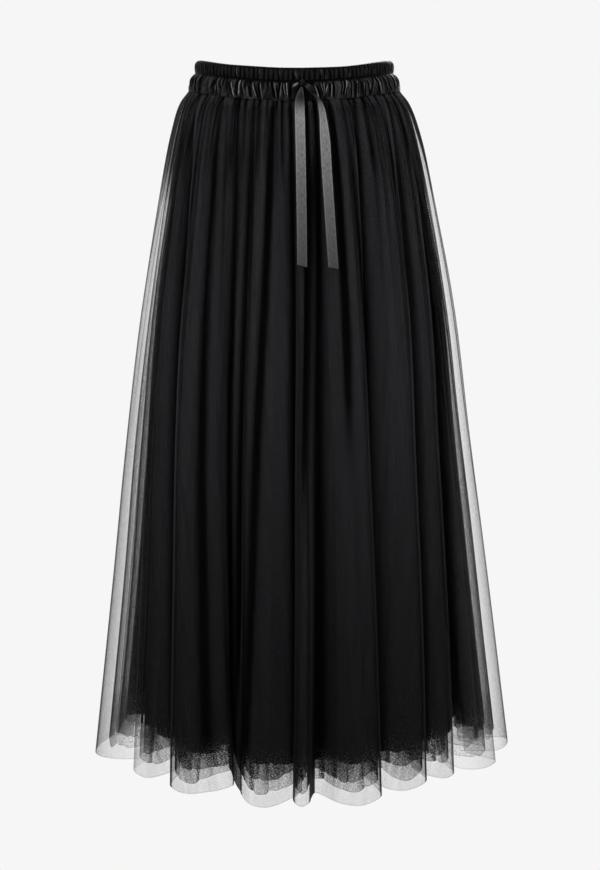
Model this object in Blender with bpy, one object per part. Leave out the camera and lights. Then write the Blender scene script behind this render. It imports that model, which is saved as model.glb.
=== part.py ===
"""A maxi skirt of gathered net over an opaque lining, with a satin waistband and a ribbon bow.

Metres, +Z up. The front faces -Y and the wearer's left hand is at +X. The origin is the middle
of the waist, level with the stitched line between the two rows of the waistband at the sides.
The cloth is a wall lofted between rings. An angle of 0 degrees is the centre front, 90 is the
side at +X and 180 is the centre back.
"""
import math
from collections import namedtuple

import bmesh
import bpy
from mathutils import Vector

# Driving sizes
NET_WALL = 0.0010
LINING_WALL = 0.0012
SEAM_GAP = 0.0003
BAND_BOTTOM = -0.0238
FRONT_DIP = 0.0155
BACK_DIP = 0.0080
HEM_DROP = 0.893
SIDE = 90.0
GATHER_REACH = 0.0020
CURL = 0.080
SHARP_ANGLE = 50.0
BAND_PUCKERS = 40
RIBBON_WALL = 0.0008
RIBBON_END_SLANT = 0.0030
KNOT_CENTRE = (0.0102, -0.1090, -0.0175)
KNOT_HALF_SIZE = (0.0045, 0.0048, 0.0050)

# How far to each side a layer is probed, in degrees and in metres, to find which way it faces
PROBE_ANGLE = 0.25
PROBE_DROP = 0.002

# Rings of the outer net, from the waistband down. half_width and half_depth are the mean oval,
# and drift is how far its middle stands to +X. fold is the share of each fold's full reach, gather
# the share of the fine gathers, and lift the share of each fold's rise. The last three say how far
# inside the oval the other layers hang.
Ring = namedtuple("Ring", "drop half_width half_depth drift fold gather lift middle inner lining")
RINGS = (
    Ring(0.000, 0.1380, 0.1065, 0.0000, 0.06, 1.0, 0.0, 0.0042, 0.0057, 0.0073),
    Ring(0.018, 0.1490, 0.1145, 0.0006, 0.12, 1.0, 0.0, 0.0050, 0.0074, 0.0098),
    Ring(0.050, 0.1608, 0.1235, 0.0018, 0.22, 0.8, 0.0, 0.0056, 0.0090, 0.0124),
    Ring(0.125, 0.1742, 0.1340, 0.0034, 0.38, 0.5, 0.0, 0.0068, 0.0112, 0.0158),
    Ring(0.275, 0.1980, 0.1540, 0.0050, 0.55, 0.2, 0.0, 0.0108, 0.0148, 0.0196),
    Ring(0.455, 0.2170, 0.1720, 0.0064, 0.70, 0.0, 0.0, 0.0120, 0.0200, 0.0265),
    Ring(0.650, 0.2390, 0.1940, 0.0077, 0.85, 0.0, 0.1, 0.0150, 0.0250, 0.0340),
    Ring(HEM_DROP, 0.2640, 0.2200, 0.0090, 1.00, 0.0, 1.0, 0.0180, 0.0290, 0.0420),
)

# Folds round the hem. Each row is a ridge and the valley after it. For each of the two it gives
# the angle, how far it stands out of the oval or goes into it, and how much the hem rises there.
Fold = namedtuple("Fold", "ridge out ridge_lift valley deep valley_lift")
FOLDS = (
    Fold(-90.0, 0.018, 0.000, -62.0, 0.020, 0.006),
    Fold(-46.5, 0.018, 0.007, -40.0, 0.018, 0.012),
    Fold(-31.9, 0.018, 0.005, -26.0, 0.005, 0.006),
    Fold(-20.6, 0.018, 0.006, -15.9, 0.030, 0.018),
    Fold(-10.0, 0.021, -0.001, -4.2, 0.014, 0.006),
    Fold(0.0, 0.021, 0.003, 4.6, 0.022, 0.008),
    Fold(14.5, 0.020, 0.001, 22.5, 0.022, 0.012),
    Fold(31.0, 0.016, 0.010, 37.0, 0.020, 0.016),
    Fold(43.0, 0.016, 0.013, 49.5, 0.022, 0.014),
    Fold(60.5, 0.019, 0.005, 71.0, 0.018, 0.006),
    Fold(90.0, 0.018, 0.000, 101.0, 0.019, 0.004),
    Fold(111.0, 0.018, 0.002, 120.0, 0.021, 0.008),
    Fold(129.0, 0.020, 0.004, 137.0, 0.018, 0.006),
    Fold(146.0, 0.016, 0.000, 152.5, 0.020, 0.008),
    Fold(161.0, 0.019, 0.002, 169.5, 0.024, 0.012),
    Fold(177.5, 0.020, -0.002, 184.5, 0.018, 0.006),
    Fold(192.0, 0.018, 0.001, 199.5, 0.021, 0.009),
    Fold(208.0, 0.020, 0.003, 217.0, 0.019, 0.006),
    Fold(225.5, 0.017, 0.002, 233.0, 0.022, 0.010),
    Fold(243.0, 0.019, 0.001, 252.5, 0.018, 0.004),
)

# The four layers of the skirt, from the outside in. cut_short is how much the hem stands above
# the outer one, share how much of the folds the layer follows, and steps how many columns of
# faces lie between a ridge and a valley.
Layer = namedtuple("Layer", "name cut_short share steps wall gathered colour roughness")
LAYERS = (
    Layer("tulle_outer", 0.000, 1.00, 3, NET_WALL, 1.0, (0.030, 0.030, 0.033), 0.75),
    Layer("tulle_middle", 0.014, 0.85, 2, NET_WALL, 0.0, (0.024, 0.024, 0.027), 0.75),
    Layer("tulle_inner", 0.028, 0.70, 2, NET_WALL, 0.0, (0.018, 0.018, 0.021), 0.75),
    Layer("lining", 0.045, 0.50, 1, LINING_WALL, 0.0, (0.008, 0.008, 0.009), 0.60),
)

# Rows of the waistband, from its lower edge up: height, mean oval outside, how far the puckers
# stand out, how many columns lie between two puckers, and how thick the band is there. The
# lower edge holds the turned-in tops of the skirt's layers, and the rest holds the elastic.
BandRow = namedtuple("BandRow", "height half_width half_depth pucker spacing thick")
BAND_ROWS = (
    BandRow(BAND_BOTTOM, 0.1405, 0.1090, 0.0022, 3, 0.0095),
    BandRow(-0.0120, 0.1385, 0.1075, 0.0034, 3, 0.0060),
    BandRow(0.0000, 0.1290, 0.0990, 0.0004, 2, 0.0032),
    BandRow(0.0085, 0.1310, 0.1010, 0.0024, 2, 0.0032),
    BandRow(0.0165, 0.1255, 0.0965, 0.0020, 2, 0.0030),
)
PUCKER_SIZES = (1.0, 0.6, 0.85, 0.45, 0.95, 0.7, 0.55)

# Routes of the ribbon's stretches, each from the knot outwards, with the ribbon's width there.
# It is pinched at the knot, and each tail lies down the front of the outer net.
RibbonPoint = namedtuple("RibbonPoint", "x y z width")
LEFT_TAIL = (
    RibbonPoint(0.0090, -0.1100, -0.0230, 0.0050),
    RibbonPoint(0.0081, -0.1122, -0.0300, 0.0095),
    RibbonPoint(0.0076, -0.1126, -0.0400, 0.0126),
    RibbonPoint(0.0075, -0.1165, -0.0520, 0.0130),
    RibbonPoint(0.0079, -0.1238, -0.0650, 0.0130),
    RibbonPoint(0.0083, -0.1288, -0.0840, 0.0130),
    RibbonPoint(0.0086, -0.1333, -0.1027, 0.0130),
    RibbonPoint(0.0089, -0.1370, -0.1216, 0.0130),
    RibbonPoint(0.0091, -0.1404, -0.1406, 0.0130),
    RibbonPoint(0.0094, -0.1435, -0.1595, 0.0130),
    RibbonPoint(0.0096, -0.1465, -0.1784, 0.0130),
    RibbonPoint(0.0099, -0.1496, -0.1973, 0.0130),
    RibbonPoint(0.0101, -0.1527, -0.2162, 0.0130),
    RibbonPoint(0.0103, -0.1552, -0.2325, 0.0130),
    RibbonPoint(0.0104, -0.1577, -0.2489, 0.0130),
)
RIGHT_TAIL = (
    RibbonPoint(0.0140, -0.1092, -0.0213, 0.0050),
    RibbonPoint(0.0185, -0.1120, -0.0255, 0.0080),
    RibbonPoint(0.0240, -0.1128, -0.0310, 0.0110),
    RibbonPoint(0.0293, -0.1128, -0.0370, 0.0125),
    RibbonPoint(0.0338, -0.1140, -0.0467, 0.0130),
    RibbonPoint(0.0369, -0.1192, -0.0620, 0.0130),
    RibbonPoint(0.0383, -0.1234, -0.0775, 0.0130),
    RibbonPoint(0.0394, -0.1272, -0.0925, 0.0130),
    RibbonPoint(0.0405, -0.1304, -0.1096, 0.0130),
    RibbonPoint(0.0415, -0.1334, -0.1267, 0.0130),
    RibbonPoint(0.0429, -0.1366, -0.1460, 0.0130),
    RibbonPoint(0.0442, -0.1397, -0.1659, 0.0130),
    RibbonPoint(0.0456, -0.1430, -0.1867, 0.0130),
    RibbonPoint(0.0470, -0.1463, -0.2075, 0.0130),
    RibbonPoint(0.0485, -0.1497, -0.2295, 0.0130),
    RibbonPoint(0.0501, -0.1531, -0.2516, 0.0130),
)
LEFT_LOOP = (
    RibbonPoint(0.0053, -0.1118, -0.0180, 0.0060),
    RibbonPoint(0.0020, -0.1148, -0.0192, 0.0090),
    RibbonPoint(-0.0020, -0.1161, -0.0205, 0.0110),
    RibbonPoint(-0.0048, -0.1155, -0.0214, 0.0110),
    RibbonPoint(-0.0057, -0.1140, -0.0218, 0.0110),
    RibbonPoint(-0.0048, -0.1126, -0.0214, 0.0110),
    RibbonPoint(-0.0020, -0.1123, -0.0205, 0.0110),
    RibbonPoint(0.0020, -0.1118, -0.0192, 0.0090),
    RibbonPoint(0.0053, -0.1094, -0.0180, 0.0060),
)
RIGHT_LOOP = (
    RibbonPoint(0.0154, -0.1132, -0.0193, 0.0045),
    RibbonPoint(0.0180, -0.1160, -0.0215, 0.0080),
    RibbonPoint(0.0225, -0.1172, -0.0262, 0.0095),
    RibbonPoint(0.0256, -0.1165, -0.0295, 0.0095),
    RibbonPoint(0.0263, -0.1155, -0.0302, 0.0095),
    RibbonPoint(0.0254, -0.1145, -0.0293, 0.0095),
    RibbonPoint(0.0220, -0.1141, -0.0257, 0.0095),
    RibbonPoint(0.0180, -0.1134, -0.0215, 0.0080),
    RibbonPoint(0.0154, -0.1114, -0.0193, 0.0045),
)
LEFT_LOOP_ACROSS = Vector((0.30, 0.0, 0.95))
RIGHT_LOOP_ACROSS = Vector((0.66, 0.0, 0.75))
FRONTWARDS = Vector((0.0, -1.0, 0.0))


def clear_scene():
    for item in list(bpy.data.objects):
        bpy.data.objects.remove(item, do_unlink=True)


def make_collection(name):
    group = bpy.data.collections.new(name)
    bpy.context.scene.collection.children.link(group)
    return group


def make_material(name, colour, roughness):
    material = bpy.data.materials.new(name)
    material.use_nodes = True
    shader = material.node_tree.nodes["Principled BSDF"]
    shader.inputs["Base Color"].default_value = (*colour, 1.0)
    shader.inputs["Roughness"].default_value = roughness
    shader.inputs["Metallic"].default_value = 0.0
    return material


def between(a, b, share):
    return a + (b - a) * share


def dip(angle):
    """How far the waistline sinks at the centre front and at the centre back."""
    facing = math.cos(math.radians(angle))
    return -(FRONT_DIP if facing > 0 else BACK_DIP) * facing * facing


def make_turns():
    """Every ridge and valley as (angle, reach, lift), once round from the first ridge."""
    turns = []
    for fold in FOLDS:
        turns.append((fold.ridge, fold.out, fold.ridge_lift))
        turns.append((fold.valley, -fold.deep, fold.valley_lift))
    first = turns[0]
    turns.append((first[0] + 360.0, first[1], first[2]))
    return turns


TURNS = make_turns()


def fold_at(angle):
    """Where an angle lies between two turns: (reach, lift, sideways curl in degrees, phase)."""
    angle = (angle - TURNS[0][0]) % 360.0 + TURNS[0][0]
    for i in range(len(TURNS) - 1):
        start, end = TURNS[i], TURNS[i + 1]
        if start[0] <= angle <= end[0]:
            break
    share = (angle - start[0]) / (end[0] - start[0])
    ease = 0.5 - 0.5 * math.cos(math.pi * share)
    curl = (end[0] - start[0]) * CURL * math.sin(2 * math.pi * share)
    phase = 0.5 * share + (0.5 if i % 2 == 0 else 0.0)
    return between(start[1], end[1], ease), between(start[2], end[2], ease), curl, phase


def ring_at(drop):
    """The ring table read at any drop below the waistband."""
    for i in range(len(RINGS) - 1):
        if drop <= RINGS[i + 1].drop:
            break
    low, high = RINGS[i], RINGS[i + 1]
    share = (drop - low.drop) / (high.drop - low.drop)
    return Ring(*(between(a, b, share) for a, b in zip(low, high)))


def oval_point(half_width, half_depth, turned, height):
    return Vector((half_width * math.sin(turned), -half_depth * math.cos(turned), height))


def cloth_point(layer, angle, drop):
    """A point on the outside of a layer. The outer net has no inset, so it has no column for it."""
    ring = ring_at(drop)
    inset = getattr(ring, layer.name.split("_")[-1], 0.0)
    reach, lift, curl, phase = fold_at(angle)
    follow = ring.fold * layer.share
    gather = GATHER_REACH * ring.gather * layer.gathered * math.sin(4 * math.pi * phase)
    outward = reach * follow + gather - inset
    turned = math.radians(angle + curl * follow)
    height = BAND_BOTTOM - SEAM_GAP + dip(angle) - drop + lift * ring.lift * layer.share
    point = oval_point(ring.half_width + outward, ring.half_depth + outward, turned, height)
    point.x += ring.drift
    return point


def cloth_facing(layer, angle, drop):
    """The way out of a layer at a point."""
    along = cloth_point(layer, angle + PROBE_ANGLE, drop) - cloth_point(layer, angle - PROBE_ANGLE, drop)
    top = max(drop - PROBE_DROP, 0.0)
    low = min(drop + PROBE_DROP, HEM_DROP)
    down = cloth_point(layer, angle, low) - cloth_point(layer, angle, top)
    return down.cross(along).normalized()


def panel_angles(steps, start, end):
    """Column angles of a panel: every turn between its side seams, and the steps between them."""
    angles = []
    for a, b in zip(TURNS, TURNS[1:]):
        for i in range(steps):
            angles.append(between(a[0], b[0], i / steps))
    angles = [angle + turn for angle in angles for turn in (0.0, 360.0)]
    return sorted(angle for angle in angles if start < angle < end)


def make_wall(name, columns, rows, place, material, parts):
    """A closed wall: a grid, extruded once, with the points of both sides placed by a function."""
    mesh = bpy.data.meshes.new(name)
    bm = bmesh.new()
    bmesh.ops.create_grid(bm, x_segments=columns - 1, y_segments=rows - 1, size=0.5)
    outside = list(bm.verts)
    spots = [(round((v.co.x + 0.5) * (columns - 1)), round((v.co.y + 0.5) * (rows - 1))) for v in outside]
    made = bmesh.ops.extrude_face_region(bm, geom=list(bm.faces))["geom"]
    inside = [item for item in made if isinstance(item, bmesh.types.BMVert)]
    partner = {(round(v.co.x, 5), round(v.co.y, 5)): v for v in inside}
    for vert, (column, row) in zip(outside, spots):
        twin = partner[(round(vert.co.x, 5), round(vert.co.y, 5))]
        vert.co, twin.co = place(column, row)
    bmesh.ops.recalc_face_normals(bm, faces=list(bm.faces))
    if bm.calc_volume(signed=True) < 0:
        bmesh.ops.reverse_faces(bm, faces=list(bm.faces))
    bm.to_mesh(mesh)
    bm.free()
    mesh.shade_smooth()
    mesh.set_sharp_from_angle(angle=math.radians(SHARP_ANGLE))
    mesh.materials.append(material)
    item = bpy.data.objects.new(name, mesh)
    parts.objects.link(item)
    return item


def seam_shift(column, columns, front):
    """Sets the first and the last column of a panel back from the side seam."""
    if column in (0, columns - 1):
        return -SEAM_GAP / 2 if front else SEAM_GAP / 2
    return None


def make_layer(layer, parts):
    """The front and the back panel of one layer, which meet at the side seams."""
    material = make_material(layer.name, layer.colour, layer.roughness)
    hem = HEM_DROP - layer.cut_short
    drops = [ring.drop for ring in RINGS if ring.drop < hem] + [hem]
    for side, start in (("front", -SIDE), ("back", SIDE)):
        end = start + 2 * SIDE
        angles = [start] + panel_angles(layer.steps, start, end) + [end]

        def place(column, row):
            angle, drop = angles[column], drops[row]
            point = cloth_point(layer, angle, drop)
            facing = cloth_facing(layer, angle, drop)
            edge = seam_shift(column, len(angles), side == "front")
            if edge is not None:
                facing.y = 0.0
                facing.normalize()
                point.y = edge
            if row == 0:
                facing.z = 0.0
                facing.normalize()
            return point, point - facing * layer.wall

        make_wall(f"{layer.name}_{side}", len(angles), len(drops), place, material, parts)


def pucker_at(column, spacing):
    """Share of a pucker's height at a column: a peak at every spacing columns, of uneven size."""
    if column % spacing:
        return 0.0
    return PUCKER_SIZES[(column // spacing) % len(PUCKER_SIZES)]


def make_waistband(parts):
    """The waistband's front and back: two rows of puckers outside over a plain inside."""
    material = make_material("waistband", (0.020, 0.020, 0.022), 0.35)
    columns = 2 * BAND_PUCKERS + 1
    for side, start in (("front", -SIDE), ("back", SIDE)):

        def place(column, row):
            angle = start + 2 * SIDE * column / (columns - 1)
            turned = math.radians(angle)
            band = BAND_ROWS[row]
            out = band.pucker * pucker_at(column, band.spacing)
            height = band.height + dip(angle)
            edge = seam_shift(column, columns, side == "front")
            outer = oval_point(band.half_width + out, band.half_depth + out, turned, height)
            inner = oval_point(band.half_width - band.thick, band.half_depth - band.thick, turned, height)
            if edge is not None:
                outer.y = edge
                inner.y = edge
            return outer, inner

        make_wall(f"waistband_{side}", columns, len(BAND_ROWS), place, material, parts)


def make_ribbon(name, route, material, parts, across=None, slant=0.0):
    """A flat ribbon along a route. Its width lies across the route, or along the direction given."""
    centres = [Vector((spot.x, spot.y, spot.z)) for spot in route]

    def place(column, row):
        ahead = centres[min(row + 1, len(centres) - 1)] - centres[max(row - 1, 0)]
        side = (across or ahead.cross(FRONTWARDS)).normalized()
        facing = side.cross(ahead).normalized()
        reach = (column - 0.5) * route[row].width
        middle = centres[row] + side * reach
        if row == len(centres) - 1:
            middle += ahead.normalized() * slant * (0.5 - column)
        return middle + facing * RIBBON_WALL / 2, middle - facing * RIBBON_WALL / 2

    return make_wall(name, 2, len(route), place, material, parts)


def make_knot(material, parts):
    """The rounded knot of the bow, in the groove between the waistband's rows."""
    bm = bmesh.new()
    bmesh.ops.create_uvsphere(bm, u_segments=12, v_segments=8, radius=1.0)
    bmesh.ops.scale(bm, vec=KNOT_HALF_SIZE, verts=list(bm.verts))
    bmesh.ops.translate(bm, vec=KNOT_CENTRE, verts=list(bm.verts))
    mesh = bpy.data.meshes.new("ribbon_knot")
    bm.to_mesh(mesh)
    bm.free()
    mesh.shade_smooth()
    mesh.materials.append(material)
    parts.objects.link(bpy.data.objects.new("ribbon_knot", mesh))


def make_bow(parts):
    """The tied ribbon: its knot, its two small loops and its two hanging tails."""
    satin = make_material("ribbon", (0.060, 0.060, 0.062), 0.30)
    make_knot(satin, parts)
    make_ribbon("ribbon_loop_left", LEFT_LOOP, satin, parts, across=LEFT_LOOP_ACROSS)
    make_ribbon("ribbon_loop_right", RIGHT_LOOP, satin, parts, across=RIGHT_LOOP_ACROSS)
    make_ribbon("ribbon_tail_left", LEFT_TAIL, satin, parts, slant=RIBBON_END_SLANT)
    make_ribbon("ribbon_tail_right", RIGHT_TAIL, satin, parts, slant=RIBBON_END_SLANT)


def main():
    clear_scene()
    parts = make_collection("maxi_skirt")
    for layer in LAYERS:
        make_layer(layer, parts)
    make_waistband(parts)
    make_bow(parts)


main()
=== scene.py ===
import math
from collections import namedtuple

import bmesh
import bpy
import numpy as np
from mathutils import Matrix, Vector


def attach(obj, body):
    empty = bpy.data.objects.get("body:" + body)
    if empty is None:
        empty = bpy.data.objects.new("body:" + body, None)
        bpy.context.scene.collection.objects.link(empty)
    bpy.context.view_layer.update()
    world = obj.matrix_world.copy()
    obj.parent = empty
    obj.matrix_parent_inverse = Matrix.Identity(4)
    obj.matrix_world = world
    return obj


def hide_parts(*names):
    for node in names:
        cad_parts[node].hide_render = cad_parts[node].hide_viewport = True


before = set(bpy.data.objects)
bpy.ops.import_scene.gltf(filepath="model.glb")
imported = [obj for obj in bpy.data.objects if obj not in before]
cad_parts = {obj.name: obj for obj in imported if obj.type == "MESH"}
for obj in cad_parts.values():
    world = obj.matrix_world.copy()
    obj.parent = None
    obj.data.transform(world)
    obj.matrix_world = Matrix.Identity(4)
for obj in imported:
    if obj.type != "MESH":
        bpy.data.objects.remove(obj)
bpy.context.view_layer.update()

# Camera and picture
PICTURE = (600, 870)
CAMERA_PLACE = (0.0076, -3.0, -0.15)
CAMERA_PITCH = 6.309
FOCAL_PIXELS = 2239.0
SENSOR = 36.0

# Studio: the grey of the floor and of the room, and the floor's height and reach
PAPER = (0.922, 0.922, 0.922, 1.0)
FLOOR_HEIGHT = -1.02
FLOOR_RADIUS = 6.0

# Driving sizes of the skirt. Height 0 is the stitched groove of the waistband, at the sides. The
# waistline dips at the centre front and back. The layers start SEAM_GAP below the waistband's
# lower edge, and a drop is how far down from there.
SEAM_GAP = 0.0003
BAND_BOTTOM = -0.0238
FRONT_DIP = 0.0155
BACK_DIP = 0.0080
HEM_DROP = 0.893

# Rings of the outer net, from the waistband down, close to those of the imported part: half width
# and half depth, how far the ring's middle drifts to +X, how much of the folds' reach and of the
# hem's rise and fall it has, and how far inside it each of the other layers lies at the sides
Ring = namedtuple("Ring", "drop half_width half_depth drift fold lift middle inner lining")
RINGS = (
    Ring(0.000, 0.1380, 0.1065, 0.0000, 0.06, 0.0, 0.0034, 0.0044, 0.0050),
    Ring(0.018, 0.1482, 0.1145, 0.0006, 0.12, 0.0, 0.0050, 0.0074, 0.0098),
    Ring(0.050, 0.1575, 0.1235, 0.0018, 0.22, 0.0, 0.0056, 0.0090, 0.0124),
    Ring(0.125, 0.1722, 0.1340, 0.0034, 0.38, 0.0, 0.0068, 0.0118, 0.0192),
    Ring(0.275, 0.1980, 0.1540, 0.0050, 0.55, 0.0, 0.0108, 0.0148, 0.0232),
    Ring(0.455, 0.2184, 0.1720, 0.0050, 0.70, 0.0, 0.0120, 0.0200, 0.0330),
    Ring(0.650, 0.2390, 0.1940, 0.0077, 0.85, 0.1, 0.0150, 0.0250, 0.0510),
    Ring(HEM_DROP, 0.2640, 0.2200, 0.0090, 1.00, 1.0, 0.0180, 0.0290, 0.0620),
)

# Folds round the hem. Each stands out between two edge angles, hangs lowest at the angle low, and is
# followed by a valley, which may lie behind the fold's own edge and starts at the waist at the angle
# start. Lifts are heights above the level hem. The squares say how square the two shoulders are.
Fold = namedtuple("Fold", "left right out low lift_left lift_low lift_right valley deep valley_lift "
                          "square_left square_right start")
FOLDS = (
    Fold(-106.0, -52.6, 0.0170, -92.0, 0.0080, 0.0030, 0.0300, -52.0, 0.019, 0.0360, 2.2, 2.6, -75.0),
    Fold(-53.4, -37.6, 0.0195, -46.0, 0.0190, 0.0152, 0.0290, -37.0, 0.018, 0.0360, 2.8, 2.4, -61.0),
    Fold(-38.7, -18.4, 0.0195, -32.5, 0.0120, 0.0075, 0.0240, -23.3, 0.031, 0.0360, 2.8, 2.8, -31.0),
    Fold(-17.2, -1.6, 0.0210, -10.8, 0.0166, 0.0018, 0.0150, 0.4, 0.009, 0.0172, 2.8, 1.6, -2.0),
    Fold(-2.1, 2.7, 0.0215, 0.2, 0.0105, 0.0050, 0.0107, 4.4, 0.020, 0.0115, 2.6, 2.6, 10.5),
    Fold(8.8, 22.4, 0.0200, 15.2, 0.0070, 0.0024, 0.0115, 19.8, 0.025, 0.0280, 1.7, 2.8, 33.5),
    Fold(23.4, 37.0, 0.0160, 28.5, 0.0175, 0.0130, 0.0200, 36.0, 0.020, 0.0310, 2.8, 2.4, 57.0),
    Fold(37.9, 47.5, 0.0145, 43.0, 0.0225, 0.0168, 0.0205, 48.6, 0.018, 0.0290, 2.5, 2.5, 69.0),
    Fold(50.6, 71.4, 0.0185, 62.0, 0.0195, 0.0118, 0.0090, 64.5, 0.024, 0.0240, 2.8, 2.4, 80.0),
    Fold(70.4, 100.0, 0.0180, 84.0, 0.0205, 0.0195, 0.0100, 101.0, 0.019, 0.0100, 2.6, 2.2, 99.0),
    Fold(104.5, 117.5, 0.0180, 111.0, 0.0100, 0.0030, 0.0120, 118.8, 0.021, 0.0120, 2.4, 2.6, 114.0),
    Fold(121.5, 136.6, 0.0200, 128.0, 0.0120, 0.0040, 0.0100, 135.8, 0.018, 0.0100, 2.2, 2.8, 134.0),
    Fold(138.0, 151.5, 0.0160, 146.0, 0.0060, 0.0000, 0.0080, 152.0, 0.020, 0.0100, 2.6, 2.2, 149.0),
    Fold(153.5, 168.0, 0.0190, 161.0, 0.0080, 0.0020, 0.0120, 166.5, 0.024, 0.0140, 2.6, 2.6, 168.0),
    Fold(169.2, 183.5, 0.0200, 177.0, 0.0060, -0.0020, 0.0080, 184.2, 0.018, 0.0080, 2.8, 2.0, 184.0),
    Fold(186.0, 198.5, 0.0180, 192.0, 0.0070, 0.0010, 0.0100, 198.0, 0.021, 0.0110, 2.4, 2.6, 200.0),
    Fold(201.0, 216.2, 0.0200, 208.0, 0.0100, 0.0030, 0.0090, 213.8, 0.021, 0.0100, 2.6, 2.8, 217.0),
    Fold(217.6, 232.0, 0.0170, 225.0, 0.0080, 0.0020, 0.0120, 232.6, 0.022, 0.0120, 2.6, 2.2, 236.0),
    Fold(235.0, 251.0, 0.0190, 243.0, 0.0080, 0.0010, 0.0080, 251.6, 0.018, 0.0080, 2.6, 2.4, 256.0),
)

# A fold's hem has FOLD_STEPS points on each side of its middle, FOLD_SWING degrees of its curve
# apart. HEM_RADIUS turns angles into lengths along the hem.
FOLD_STEPS = 5
FOLD_SWING = 16.5
HEM_RADIUS = 0.245

# Soft creases between the large folds. Each is a trough that runs from an angle at the waist to
# an angle at the hem, with a half width in degrees, and fades in and out between two drops.
Crease = namedtuple("Crease", "start end width depth top bottom")
CREASES = (
    Crease(-70.0, -64.0, 2.0, 0.0030, 0.02, 0.40),
    Crease(-61.5, -60.5, 1.4, 0.0026, 0.00, 0.14),
    Crease(-54.2, -53.0, 1.4, 0.0026, 0.00, 0.16),
    Crease(-50.2, -45.0, 1.5, 0.0030, 0.02, 0.42),
    Crease(-43.2, -42.6, 1.2, 0.0024, 0.00, 0.13),
    Crease(-40.5, -25.5, 1.9, 0.0040, 0.02, 1.40),
    Crease(-33.2, -32.8, 1.1, 0.0026, 0.00, 0.14),
    Crease(-26.5, -26.0, 1.2, 0.0028, 0.00, 0.12),
    Crease(-21.3, -19.8, 1.7, 0.0050, 0.02, 0.86),
    Crease(-17.9, -17.5, 1.1, 0.0025, 0.00, 0.12),
    Crease(-13.8, -13.6, 1.0, 0.0022, 0.00, 0.11),
    Crease(-10.8, -16.4, 1.7, 0.0038, 0.02, 1.10),
    Crease(-6.3, -6.0, 1.1, 0.0024, 0.00, 0.13),
    Crease(6.2, -2.0, 1.7, 0.0050, 0.02, 0.60),
    Crease(18.4, 15.0, 1.7, 0.0048, 0.02, 0.52),
    Crease(25.4, 26.0, 1.6, 0.0035, 0.02, 0.48),
    Crease(29.8, 29.4, 1.2, 0.0028, 0.00, 0.14),
    Crease(38.2, 37.5, 1.2, 0.0026, 0.00, 0.13),
    Crease(42.4, 41.5, 1.2, 0.0026, 0.00, 0.16),
    Crease(47.8, 44.0, 1.4, 0.0030, 0.00, 0.46),
    Crease(62.0, 61.5, 1.4, 0.0026, 0.00, 0.15),
    Crease(66.5, 60.0, 1.8, 0.0030, 0.02, 0.50),
    Crease(74.0, 68.0, 2.0, 0.0030, 0.02, 0.56),
    Crease(91.0, 88.0, 2.2, 0.0035, 0.02, 0.60),
    Crease(106.0, 108.0, 1.9, 0.0035, 0.02, 0.48),
    Crease(124.0, 127.0, 1.8, 0.0045, 0.02, 0.74),
    Crease(141.0, 144.0, 1.7, 0.0040, 0.02, 0.55),
    Crease(154.0, 156.0, 1.7, 0.0045, 0.02, 1.10),
    Crease(161.0, 162.0, 1.5, 0.0035, 0.02, 0.42),
    Crease(175.0, 176.0, 1.6, 0.0045, 0.02, 0.62),
    Crease(191.0, 192.0, 1.6, 0.0045, 0.02, 0.70),
    Crease(208.0, 206.0, 1.7, 0.0050, 0.02, 1.10),
    Crease(223.0, 221.0, 1.8, 0.0035, 0.02, 0.48),
    Crease(230.0, 226.0, 1.7, 0.0045, 0.02, 0.60),
    Crease(246.0, 242.0, 2.0, 0.0040, 0.02, 0.56),
    Crease(266.0, 263.0, 2.2, 0.0035, 0.02, 0.50),
)

# Creases and valleys are half as wide at the waistband as they are from the drop NARROW_ABOVE on.
# A crease fades in over CREASE_IN and out over CREASE_OUT at the most, and one that is DIM_DEPTH
# deep gets quite dark painted shade. A valley's painted shade is darkest for VALLEY_FLOOR degrees to
# each side of its line and ends VALLEY_HALF_WIDTH from it, and comes in between the drops VALLEY_IN.
NARROW_ABOVE = 0.13
CREASE_IN = 0.03
CREASE_OUT = 0.25
DIM_DEPTH = 0.0026
VALLEY_FLOOR = 0.3
VALLEY_HALF_WIDTH = 4.0
VALLEY_IN = (-0.01, 0.01)

# The layers, from the outside in. cut_short is how much the hem stands above the outer one at the
# least, and wave how much more it rises and falls. share and turn are how much of the folds' reach
# and sideways lean it follows. gather is the height of its gathers, pleat the depth of its small
# pleats, and seed sets its gathers apart from the other layers'. close is the part of its distance
# inside that is measured straight through the cloth. small is how many small folds overlap round
# its hem. flat_top and flat_hem are the widths of its cut, and columns is for its mesh.
Layer = namedtuple("Layer", "name cut_short wave share turn gather pleat seed close small "
                            "flat_top flat_hem columns")
LAYERS = (
    Layer("tulle_outer", 0.000, 0.000, 1.00, 1.00, 0.0036, 0.0000, 1.0, 0.0000, 0, 1.45, 2.90, 1300),
    Layer("tulle_middle", 0.010, 0.006, 0.99, 1.00, 0.0016, 0.0012, 4.0, 0.0024, 34, 1.35, 2.75, 1300),
    Layer("tulle_inner", 0.024, 0.006, 0.96, 0.99, 0.0012, 0.0016, 7.0, 0.0048, 41, 1.30, 2.55, 1200),
    Layer("lining", 0.042, 0.004, 0.50, 0.65, 0.0009, 0.0030, 9.0, 0.0000, 0, 0.86, 1.75, 800),
)

# How the inner layers hang: the waves round their hems, how much the small folds lift them, and
# how far inside they lie down the front and back, as a share of the sides. That share comes in
# between the drops FRONT_INSET_DROPS, and the distance close between the drops CLOSE_DROPS.
WAVE_COUNTS = (11, 17, 24)
SMALL_LIFT = 0.0035
FRONT_INSET = 0.38
FRONT_INSET_DROPS = (0.1, 0.5)
CLOSE_DROPS = (0.0, 0.3)

# Fine gathers under the waistband, all round: how many, how far down the longest one reaches, the
# drop where they are full grown, and how dark the painted shade along their lines is
GATHERS = 50
GATHER_REACH = 0.42
GATHER_GROWN = 0.012
GATHER_DIM = 1.3

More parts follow.
